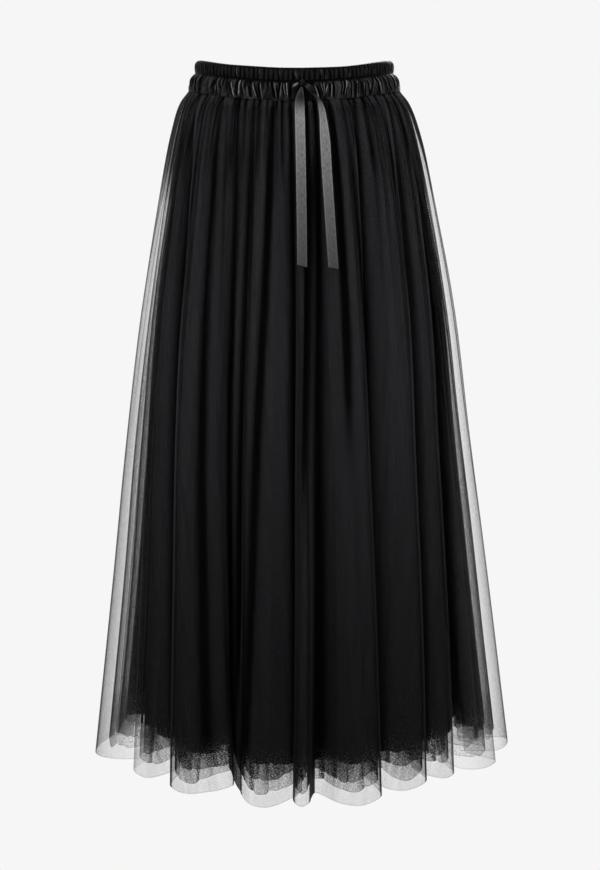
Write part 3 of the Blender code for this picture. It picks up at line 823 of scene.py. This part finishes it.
def make_layer(layer, material):
    """One layer of the skirt as a single sheet all round."""
    hem = HEM_DROP - layer.cut_short
    drops = row_drops(hem)
    angles = np.linspace(-180.0, 180.0, layer.columns + 1)
    points, *fields = cloth_field(layer, angles[None, :], drops[:, None])
    points[:, -1] = points[:, 0]
    mesh, row, column = grid_mesh(layer.name, points, cloth_uv(points, drops))
    for name, field in zip(("raised", "bunched", "edge", "loose"), fields):
        add_attribute(mesh, name, field[row, column])
    add_attribute(mesh, "above_hem", hem - drops[row])
    side = np.abs(np.abs(angles) - 90.0) * math.pi / 180.0 * SEAM_RADIUS
    add_attribute(mesh, "from_seam", side[column])
    finish_mesh(mesh, open_ends=True)
    nodes = [f"{layer.name}_front", f"{layer.name}_back"]
    piece = add_piece(f"{layer.name}_cloth", mesh, material, nodes)


# Materials

def new_material(name, specular, roughness=0.5):
    material = bpy.data.materials.new(name)
    material.use_nodes = True
    tree = material.node_tree
    shader = tree.nodes["Principled BSDF"]
    shader.inputs["Specular IOR Level"].default_value = specular
    shader.inputs["Roughness"].default_value = roughness
    return material, tree, shader


def math_node(tree, operation, a, b=None, c=None, clamp=False):
    node = tree.nodes.new("ShaderNodeMath")
    node.operation = operation
    node.use_clamp = clamp
    for socket, value in zip(node.inputs, (a, b, c)):
        if value is None:
            continue
        if isinstance(value, (int, float)):
            socket.default_value = value
        else:
            tree.links.new(value, socket)
    return node.outputs[0]


def times(tree, first, second):
    return math_node(tree, "MULTIPLY", first, second)


def attribute_value(tree, name):
    node = tree.nodes.new("ShaderNodeAttribute")
    node.attribute_type = "GEOMETRY"
    node.attribute_name = name
    return node.outputs["Fac"]


def cloth_place(tree, scale_u, scale_v):
    """The cloth's own coordinates, scaled."""
    uv = tree.nodes.new("ShaderNodeUVMap")
    uv.uv_map = "cloth"
    mapping = tree.nodes.new("ShaderNodeMapping")
    mapping.inputs["Scale"].default_value = (scale_u, scale_v, 1.0)
    tree.links.new(uv.outputs[0], mapping.inputs["Vector"])
    return mapping.outputs[0]


def noise_value(tree, place, scale, detail=2.0, roughness=0.5):
    node = tree.nodes.new("ShaderNodeTexNoise")
    node.inputs["Scale"].default_value = scale
    node.inputs["Detail"].default_value = detail
    node.inputs["Roughness"].default_value = roughness
    tree.links.new(place, node.inputs["Vector"])
    return node.outputs["Fac"]


def ramp_value(tree, value, low, high, out_low, out_high):
    node = tree.nodes.new("ShaderNodeMapRange")
    node.interpolation_type = "SMOOTHSTEP"
    for name, number in (("From Min", low), ("From Max", high), ("To Min", out_low), ("To Max", out_high)):
        node.inputs[name].default_value = number
    tree.links.new(value, node.inputs["Value"])
    return node.outputs[0]


def mix_colours(tree, share, first, second):
    """A blend of two colours, each of them fixed or made by other nodes."""
    node = tree.nodes.new("ShaderNodeMix")
    node.data_type = "RGBA"
    for name, colour in (("A", first), ("B", second)):
        if isinstance(colour, tuple):
            node.inputs[name].default_value = (*colour, 1.0)
        else:
            tree.links.new(colour, node.inputs[name])
    tree.links.new(share, node.inputs["Factor"])
    return node.outputs["Result"]


def add_bump(tree, shader, height, strength, distance):
    """Small relief in the cloth's surface."""
    bump = tree.nodes.new("ShaderNodeBump")
    bump.inputs["Strength"].default_value = strength
    bump.inputs["Distance"].default_value = distance
    tree.links.new(height, bump.inputs["Height"])
    tree.links.new(bump.outputs[0], shader.inputs["Normal"])


def add_ribs(tree, shader, strength):
    """Fine ribs across the satin."""
    ribs = noise_value(tree, cloth_place(tree, 0.08, 1.0), 2400.0, 1.0)
    add_bump(tree, shader, ribs, strength, 0.0002)


def painted_light_tone(tree):
    """Painted light of the cloth: painted shade down in the folds, and lighter higher up the skirt."""
    # Painted light: lighter higher up the skirt, darker towards the hem
    painted_height_light = ramp_value(tree, attribute_value(tree, "above_hem"), 0.0, 0.80, 0.35, 1.15)
    return times(tree, attribute_value(tree, "raised"), painted_height_light)


def thread_mask(tree, across):
    """1 on one set of parallel threads of the net and 0 in its holes."""
    place = math_node(tree, "FRACT", math_node(tree, "DIVIDE", across, NET_CELL))
    off = math_node(tree, "ABSOLUTE", math_node(tree, "SUBTRACT", place, 0.5))
    return ramp_value(tree, off, 0.5 - NET_THREAD, 0.5 - 0.4 * NET_THREAD, 0.0, 1.0)


def net_threads(tree, place, net):
    """How much the net hides, seen square on: little in its holes, more on its crossing threads."""
    split = tree.nodes.new("ShaderNodeSeparateXYZ")
    tree.links.new(place, split.inputs[0])
    u, v = split.outputs[0], split.outputs[1]
    one = thread_mask(tree, math_node(tree, "ADD", u, v))
    two = thread_mask(tree, math_node(tree, "SUBTRACT", u, v))
    threads = math_node(tree, "MAXIMUM", one, two)
    return math_node(tree, "MULTIPLY_ADD", threads, net.thread - net.hole, net.hole)


def net_fullness(tree, above, net):
    """How many times more the net hides where it is bunched, in streaks, or turned edge on."""
    streak = noise_value(tree, cloth_place(tree, 1.0, 0.06), 130.0)
    more = ramp_value(tree, above, 0.0, HEM_FADE, net.hem_fill, net.fill)
    more = times(tree, more, ramp_value(tree, streak, 0.25, 0.75, 0.5, 1.5))
    more = times(tree, attribute_value(tree, "bunched"), more)
    more = math_node(tree, "MULTIPLY_ADD", attribute_value(tree, "edge"), EDGE_FILL, more)
    return math_node(tree, "ADD", 1.0, more)


def net_specks(tree, place, net):
    """Small clearer specks, where the layers' threads fall in line."""
    grain = noise_value(tree, place, 1.0 / SPECK_SIZE, 0.5)
    return ramp_value(tree, grain, 0.51, 0.60, 1.0, 1.0 - SPECK_CLEAR * min(net.fill, SPECK_FILL))


def net_painted_sparks(tree, place, above, net):
    """Tiny painted sparks of light, near the hem and where the net lies beside the lining."""
    dots = tree.nodes.new("ShaderNodeTexVoronoi")
    dots.voronoi_dimensions = "2D"
    dots.inputs["Scale"].default_value = 1.0 / SPARK_SIZE
    tree.links.new(place, dots.inputs["Vector"])
    # Painted sparks: grey dots that stand in for light coming through the net
    painted_sparks = ramp_value(tree, dots.outputs["Distance"], 0.10, 0.26, net.spark, 0.0)
    near_hem = ramp_value(tree, above, 0.02, 0.06, 1.0, 0.0)
    return times(tree, painted_sparks, math_node(tree, "MAXIMUM", attribute_value(tree, "loose"), near_hem))


def net_alpha(tree, dense, above):
    """How much the net hides as it is seen: more at a slant, at its raw hem and along its seams."""
    weight = tree.nodes.new("ShaderNodeLayerWeight")
    weight.inputs["Blend"].default_value = 0.5
    square = math_node(tree, "SUBTRACT", 1.0, weight.outputs["Facing"])
    slant = math_node(tree, "DIVIDE", 1.0, math_node(tree, "MAXIMUM", square, SLANT_LEAST))
    slant = math_node(tree, "POWER", slant, SLANT_POWER)
    clear = math_node(tree, "POWER", math_node(tree, "SUBTRACT", 1.0, dense), slant)
    hem = ramp_value(tree, above, 0.0008, 0.0022, 0.84, 1.0)
    seam = ramp_value(tree, attribute_value(tree, "from_seam"), 0.0008, 0.0016, 0.75, 1.0)
    clear = times(tree, times(tree, clear, hem), seam)
    return math_node(tree, "SUBTRACT", 1.0, clear, clamp=True)


def net_colour(tree, painted_sparks, colour):
    """Nearly black painted shade in the folds, the net's own colour out on them, painted grey sparks."""
    # Painted shade in the folds, from the cloth's painted light
    tone = mix_colours(tree, painted_light_tone(tree), tuple(NET_DEEP * part for part in colour), colour)
    lit = mix_colours(tree, painted_sparks, colour, PAINTED_SPARK_COLOUR)
    return mix_colours(tree, math_node(tree, "MULTIPLY", painted_sparks, 2.0, clamp=True), tone, lit)


def net_material(net):
    """Fine net of two sets of crossing threads, denser where it is bunched in a fold or seen at a slant,
    with small clear specks, tiny painted sparks of light and painted shade in its folds."""
    material, tree, shader = new_material(net.name, 0.02, 0.60)
    place = cloth_place(tree, 1.0, 1.0)
    above = attribute_value(tree, "above_hem")
    dense = times(tree, net_threads(tree, place, net), net_fullness(tree, above, net))
    dense = math_node(tree, "MINIMUM", times(tree, dense, net_specks(tree, place, net)), MOST_DENSE)
    painted_sparks = net_painted_sparks(tree, place, above, net)
    alpha = net_alpha(tree, math_node(tree, "MAXIMUM", dense, painted_sparks), above)
    tree.links.new(alpha, shader.inputs["Alpha"])
    tree.links.new(net_colour(tree, painted_sparks, net.colour), shader.inputs["Base Color"])
    return material


def lining_material():
    """Opaque lining: black, soft, with a faint upright grain, and painted shade down in the folds."""
    material, tree, shader = new_material("lining", 0.03, 0.55)
    grain = noise_value(tree, cloth_place(tree, 1.0, 0.02), 420.0, 3.0)
    # Painted shade in the folds and painted light up the skirt, times the grain
    share = times(tree, painted_light_tone(tree), ramp_value(tree, grain, 0.2, 0.8, 0.75, 1.0))
    tree.links.new(mix_colours(tree, share, *LINING_COLOURS), shader.inputs["Base Color"])
    weave = noise_value(tree, cloth_place(tree, 1.0, 0.5), 1600.0, 1.0)
    add_bump(tree, shader, weave, 0.15, 0.0003)
    return material


def band_material():
    """Black satin of the waistband: dark, with painted shade and painted gleams along its puckers."""
    material, tree, shader = new_material("band_satin", 0.015)
    mottle = noise_value(tree, cloth_place(tree, 1.0, 0.6), 200.0, 3.0)
    # The band's painted light: painted shade in its puckers and painted gleams beside them
    tone = attribute_value(tree, "tone")
    share = times(tree, times(tree, tone, tone), ramp_value(tree, mottle, 0.3, 0.7, 0.75, 1.25))
    tree.links.new(mix_colours(tree, share, *BAND_COLOURS), shader.inputs["Base Color"])
    tree.links.new(ramp_value(tree, mottle, 0.3, 0.7, 0.26, 0.34), shader.inputs["Roughness"])
    add_ribs(tree, shader, 0.08)
    return material


def ribbon_material(name, specular):
    """Satin of the ribbon, mottled: painted light where it hangs free below the knot, and on its edges."""
    material, tree, shader = new_material(name, specular)
    mottle = noise_value(tree, cloth_place(tree, 1.0, 0.5), 420.0, 4.0, 0.6)
    # Painted light along the ribbon, with painted highlights on its edges
    lit = times(tree, attribute_value(tree, "lit"), ramp_value(tree, mottle, 0.35, 0.65, 0.60, 1.0))
    painted_edge_light = ramp_value(tree, attribute_value(tree, "from_edge"), 0.0004, 0.0012, 1.5, 1.0)
    tree.links.new(mix_colours(tree, times(tree, lit, painted_edge_light), *RIBBON_COLOURS), shader.inputs["Base Color"])
    tree.links.new(ramp_value(tree, mottle, 0.3, 0.7, 0.30, 0.38), shader.inputs["Roughness"])
    add_ribs(tree, shader, 0.12)
    return material


def thread_material():
    """Black thread of the stitches."""
    material, tree, shader = new_material("thread", 0.10, 0.50)
    grain = noise_value(tree, cloth_place(tree, 1.0, 1.0), 900.0)
    tree.links.new(mix_colours(tree, grain, *THREAD_COLOURS), shader.inputs["Base Color"])
    return material


# Waistband

def upper_puckers(angles, up):
    """Fine upright creases of the row above the seam: how far they stand out, and their painted light."""
    turn = np.radians(angles)
    phase = UPPER_PUCKERS * turn + 1.1 * wobble(turn * 23.0, up * 1.6, 3.0)
    phase = phase + up * wobble(turn * 11.0, up, 6.0)
    strength = 0.75 + 0.40 * wobble(turn * 37.0, up * 1.5, 1.0)
    crease = 1 - np.abs(np.sin(phase / 2)) ** 0.7
    out = -UPPER_DEPTH * strength * crease * np.sin(np.pi * np.clip(up, 0.06, 0.94)) ** 0.4
    # Painted gleams beside the creases and painted shade in them, darker near the seam and the top edge
    gleam = np.clip(np.cos(phase - 1.4), 0, 1) ** 6 * np.clip(wobble(turn * 29.0, up * 1.2, 7.0), 0, 1)
    tone = 0.155 - 0.30 * strength * crease + 0.42 * gleam * np.sin(np.pi * np.clip(up, 0.0, 0.95))
    return out, tone * fade(up, 0.02, 0.14) * (1 - 0.8 * fade(up, 0.82, 0.93))


def press_slit(out, tone, slit, angles, down):
    """Adds one deep pucker, front and back, to the lower row's form, with painted shade and a painted gleam.
    """
    middle = slit.start + (slit.end - slit.start) * (down - slit.top) / (slit.bottom - slit.top)
    along = fade(down, slit.top - 0.06, slit.top + 0.10)
    along = along * (1 - fade(down, slit.bottom - 0.25, slit.bottom + 0.04))
    for turned in (0.0, 180.0):
        gap = apart(angles, middle + turned) / slit.width
        hollow = np.exp(-gap * gap)
        out = out - slit.depth * along * (1.25 * hollow - 0.25 * np.exp(-gap * gap / 9.0))
        # A painted gleam beside the pucker and painted shade in it
        beside = (gap - math.copysign(GLEAM_BESIDE, slit.gleam)) / GLEAM_WIDTH
        gleam = PAINTED_GLEAM_BRIGHT * abs(slit.gleam) * np.exp(-beside * beside)
        tone = tone + along * (gleam - SLIT_PAINTED_SHADE * hollow)
    return out, tone


def lower_puckers(angles, down):
    """Deep creases of the row below the seam, with soft ripples between them, and the row's painted light.
    """
    turn = np.radians(angles)
    ripple = np.sin(RIPPLES * turn + 2.0 * wobble(turn * 17.0, down * 2.0, 5.0))
    out = RIPPLE_HEIGHT * ripple * np.sin(np.pi * np.clip(down, 0.02, 0.90)) ** 0.6
    # Painted light and shade with the ripples, and a tone that differs at random
    tone = 0.175 + 0.06 * ripple + 0.06 * wobble(turn * 13.0, down * 1.5, 9.0)
    for slit in SLITS:
        out, tone = press_slit(out, tone, slit, angles, down)
    # Painted shadow of the bow, and painted shade close to the seam
    shade = np.exp(-(apart(angles, BOW_PAINTED_SHADOW.middle) / BOW_PAINTED_SHADOW.half_width) ** 4)
    return out, tone * fade(down, 0.0, 0.08) * (1 - BOW_PAINTED_SHADOW.depth * shade)


def pucker_field(angles, heights):
    """How far the puckers of both rows stand out from the band's oval, and their painted light."""
    above = upper_puckers(angles, np.clip(heights / UPPER_ROW, 0.0, 1.0))
    below = lower_puckers(angles, np.clip(heights / BAND_BOTTOM, 0.0, 1.0))
    # Painted shade towards the sides
    side = 1 - SIDE_SHADE * np.abs(np.sin(np.radians(angles))) ** 8
    tone = np.where(heights > 0, above[1], below[1]) * side
    return np.where(heights > 0, above[0], below[0]), np.clip(tone, 0, 1)


def top_rise(angles, heights):
    """How much higher the band's upper row stands over the front than elsewhere."""
    over = np.exp(-(apart(angles, TOP_RISE.middle) / TOP_RISE.half_width) ** 4)
    return TOP_RISE.height * over * np.clip(heights / BAND_ROWS[-1].height, 0.0, 1.0)


def band_field(angles, heights, inside=False):
    """Points and painted light of the band's outside, or of its plainer inside."""
    out, tone = pucker_field(angles, heights)
    if inside:
        out = INSIDE_PUCKER * out - band_column("thick", heights)
        tone = np.full(tone.shape, INSIDE_TONE)
    turned = np.radians(angles)
    x = (band_column("half_width", heights) + out) * np.sin(turned)
    y = -(band_column("half_depth", heights) + out) * np.cos(turned)
    scallop = -SCALLOP * (1 + round_wave(angles, (31, 47, 58), 2.0))
    scallop = scallop * fade(-heights, SCALLOP_FROM, -BAND_BOTTOM)
    z = heights + dip(angles) + scallop + top_rise(angles, heights)
    return np.stack([x, y, z], axis=-1), tone


def make_waistband(material):
    """The puckered band: outside, over the rolled top edge, and down the plainer inside."""
    rise = np.concatenate([np.linspace(BAND_BOTTOM, -0.0025, 17), [-0.0012, -0.0004, 0.0, 0.0004, 0.0012]])
    rise = np.concatenate([rise, np.linspace(0.0025, 0.0142, 8), [0.0155, 0.0162, BAND_ROWS[-1].height]])
    fall = np.array([0.0160, 0.0140, 0.0080, 0.0010, -0.0060, -0.0150, BAND_BOTTOM])
    angles = np.linspace(-180.0, 180.0, BAND_COLUMNS + 1)[None, :]
    outside, outside_painted_light = band_field(angles, rise[:, None])
    inside, inside_painted_light = band_field(angles, fall[:, None], inside=True)
    points = np.concatenate([outside, inside, outside[:1]], axis=0)
    tone = np.concatenate([outside_painted_light, inside_painted_light, outside_painted_light[:1]], axis=0)
    points[:, -1] = points[:, 0]
    along = np.concatenate([[0.0], np.cumsum(np.linalg.norm(np.diff(points[:, 0], axis=0), axis=1))])
    mesh, row, column = grid_mesh("waistband", points, cloth_uv(points, along))
    add_attribute(mesh, "tone", tone[row, column])
    finish_mesh(mesh)
    piece = add_piece("waistband", mesh, material, ["waistband_front", "waistband_back"])


def groove_place(angle):
    """A point of the groove between the waistband's two rows."""
    points, _ = band_field(np.array([[angle]]), np.array([[0.0]]))
    return Vector(points[0, 0])


def make_stitches(material):
    """The row of stitches in the groove between the waistband's two rows."""
    bm = bmesh.new()
    for i in range(STITCHES):
        angle = -180.0 + 360.0 * (i + 0.5) / STITCHES
        middle = groove_place(angle)
        step = groove_place(angle + STITCH_STEP) - groove_place(angle - STITCH_STEP)
        out = step.cross(Vector((0, 0, 1))).normalized()
        ahead = step.normalized()
        up = out.cross(ahead)
        made = bmesh.ops.create_uvsphere(bm, u_segments=8, v_segments=6, radius=1.0)["verts"]
        for vert in made:
            x, y, z = vert.co
            end = z * STITCH_LENGTH / 2
            across = out * (STITCH_PROUD + x * STITCH_RADIUS)
            vert.co = middle + across + up * y * STITCH_RADIUS + ahead * end
    add_piece("waistband_stitches", mesh_from(bm, "waistband_stitches"), material, [])


# Ribbon

def ribbon_centres(route, steps):
    """A smooth line through a route, with the ribbon's width and light along it."""
    spots = np.array(route)
    length = np.concatenate([[0.0], np.cumsum(np.linalg.norm(np.diff(spots[:, :3], axis=0), axis=1))])
    at = np.linspace(0.0, length[-1], steps)
    return np.stack([smooth_through(length, spots[:, k], at) for k in range(5)], axis=-1), at


def ribbon_field(line, at, shares, across, slant, crown):
    """Points of a flat ribbon along a line, with a slight crown across it and a slanted end."""
    centres, widths = line[:, :3], line[:, 3]
    ahead = np.gradient(centres, axis=0)
    ahead /= np.linalg.norm(ahead, axis=1, keepdims=True)
    if across is None:
        side = np.cross(ahead, np.array([0.0, -1.0, 0.0]))
    else:
        side = np.broadcast_to(np.array(across), ahead.shape).copy()
    side /= np.linalg.norm(side, axis=1, keepdims=True)
    facing = np.cross(side, ahead)
    points = centres[:, None] + side[:, None] * (shares[None, :, None] * widths[:, None, None])
    points = points + facing[:, None] * (crown * (1 - (2 * shares) ** 2))[None, :, None]
    end = fade(at, at[-1] - RIBBON_END, at[-1])
    return points + ahead[:, None] * (slant * -shares[None, :, None] * end[:, None, None])


def thicken_ribbon(mesh, turned_forward):
    """Gives a flat ribbon its thickness, with its face towards the front first if it is a tail."""
    bm = bmesh.new()
    bm.from_mesh(mesh)
    if turned_forward and sum(f.normal.y for f in bm.faces) > 0:
        bmesh.ops.reverse_faces(bm, faces=list(bm.faces))
    bmesh.ops.solidify(bm, geom=list(bm.faces), thickness=RIBBON_WALL)
    bmesh.ops.recalc_face_normals(bm, faces=list(bm.faces))
    bm.to_mesh(mesh)
    bm.free()
    mesh.shade_smooth()
    mesh.set_sharp_from_angle(angle=math.radians(40.0))


def make_ribbon(name, route, material, steps, across=None, slant=0.0, crown=0.0):
    """One stretch of the ribbon, and the line along its middle."""
    line, at = ribbon_centres(route, steps)
    shares = np.linspace(-0.5, 0.5, RIBBON_COLUMNS)
    points = ribbon_field(line, at, shares, across, slant, crown)
    widths = line[:, 3]
    down = np.broadcast_to(at[:, None], points.shape[:2])
    uv = np.stack([shares[None, :] * widths[:, None], down], axis=-1)
    mesh, row, column = grid_mesh(name, points, uv)
    add_attribute(mesh, "from_edge", (0.5 - np.abs(shares))[column] * widths[row])
    # Painted light of each point of the route
    add_attribute(mesh, "lit", np.clip(line[:, 4], 0, 1)[row])
    thicken_ribbon(mesh, turned_forward=across is None)
    return add_piece(f"{name}_satin", mesh, material, [name]), line[:, :3]


def make_knot(material):
    """The knot: a small squarish ball with the ribbon's wraps round it."""
    bm = bmesh.new()
    bmesh.ops.create_uvsphere(bm, u_segments=40, v_segments=28, radius=1.0)
    for vert in bm.verts:
        x, y, z = vert.co
        wrap = 0.10 * math.sin(7.0 * (z + 0.5 * x)) + 0.05 * math.sin(13.0 * (z - 0.3 * x))
        square = 1.0 + 0.12 * (1.0 - abs(x)) * (1.0 - abs(z))
        scale = square + wrap * (1.0 - z * z)
        vert.co = Vector(KNOT_CENTRE) + Vector(a * b * scale for a, b in zip((x, y, z), KNOT_HALF_SIZE))
    return add_piece("ribbon_knot_satin", mesh_from(bm, "ribbon_knot"), material, ["ribbon_knot"])


def make_bow(material, painted_shade_satin):
    """The ribbon: its knot and loops in a copy of its satin with less gloss, as painted shade, and its two
    tails.
    """
    knot = make_knot(painted_shade_satin)
    left_loop, _ = make_ribbon("ribbon_loop_left", LEFT_LOOP, painted_shade_satin, LOOP_ROWS, across=LEFT_LOOP_ACROSS)
    right_loop, _ = make_ribbon("ribbon_loop_right", RIGHT_LOOP, painted_shade_satin, LOOP_ROWS, across=RIGHT_LOOP_ACROSS)
    tails = (
        ("ribbon_tail_left", LEFT_TAIL, [knot, left_loop, right_loop]),
        ("ribbon_tail_right", RIGHT_TAIL, []),
    )
    for name, route, with_pieces in tails:
        tail, centres = make_ribbon(name, route, material, TAIL_ROWS,
                                    slant=RIBBON_END_SLANT, crown=RIBBON_CROWN)


# Studio

def make_stage():
    """A pale floor below the hem, lit evenly."""
    bm = bmesh.new()
    bmesh.ops.create_circle(bm, cap_ends=True, segments=96, radius=FLOOR_RADIUS)
    bmesh.ops.translate(bm, vec=(0.0, 0.0, FLOOR_HEIGHT), verts=list(bm.verts))
    mesh = bpy.data.meshes.new("floor")
    bm.to_mesh(mesh)
    bm.free()
    material = bpy.data.materials.new("floor")
    material.use_nodes = True
    tree = material.node_tree
    tree.nodes.remove(tree.nodes["Principled BSDF"])
    glow = tree.nodes.new("ShaderNodeEmission")
    glow.inputs["Color"].default_value = PAPER
    tree.links.new(glow.outputs[0], tree.nodes["Material Output"].inputs["Surface"])
    mesh.materials.append(material)
    floor = bpy.data.objects.new("floor", mesh)
    bpy.context.scene.collection.objects.link(floor)


def make_world():
    """The same even grey all round."""
    world = bpy.data.worlds.new("studio")
    bpy.context.scene.world = world
    world.use_nodes = True
    shade = world.node_tree.nodes["Background"]
    shade.inputs["Color"].default_value = PAPER
    shade.inputs["Strength"].default_value = 1.0


def add_light(name, place, size, power, target=(0.0, 0.0, -0.40)):
    """A soft light panel, turned towards the skirt."""
    light = bpy.data.lights.new(name, "AREA")
    light.shape = "RECTANGLE"
    light.size, light.size_y = size
    light.energy = power
    lamp = bpy.data.objects.new(name, light)
    lamp.location = place
    lamp.rotation_euler = (Vector(target) - Vector(place)).to_track_quat("-Z", "Y").to_euler()
    bpy.context.scene.collection.objects.link(lamp)


def make_lights():
    add_light("front_left", (-1.5, -2.6, 0.9), (1.0, 1.6), 30.0)
    add_light("front_right", (1.7, -2.2, 0.7), (0.8, 1.6), 18.0)
    add_light("overhead", (0.0, -1.1, 1.5), (1.6, 0.5), 12.0)
    add_light("behind", (0.6, 2.6, 0.8), (1.4, 1.4), 24.0)


def make_camera():
    data = bpy.data.cameras.new("camera")
    data.sensor_fit = "AUTO"
    data.sensor_width = SENSOR
    data.lens = FOCAL_PIXELS / PICTURE[1] * SENSOR
    camera = bpy.data.objects.new("camera", data)
    camera.location = CAMERA_PLACE
    camera.rotation_euler = (math.radians(90.0 - CAMERA_PITCH), 0.0, 0.0)
    bpy.context.scene.collection.objects.link(camera)
    bpy.context.scene.camera = camera


def main():
    bpy.context.scene.view_settings.view_transform = "Standard"
    make_camera()
    make_world()
    make_stage()
    make_lights()
    # The knot and loops get a copy of the ribbon's satin with less gloss, as painted shade
    make_bow(ribbon_material("ribbon_satin", 0.20), ribbon_material("bow_satin", 0.07))
    make_waistband(band_material())
    make_stitches(thread_material())
    materials = [net_material(net) for net in NETS] + [lining_material()]
    for layer, material in zip(LAYERS, materials):
        make_layer(layer, material)


main()
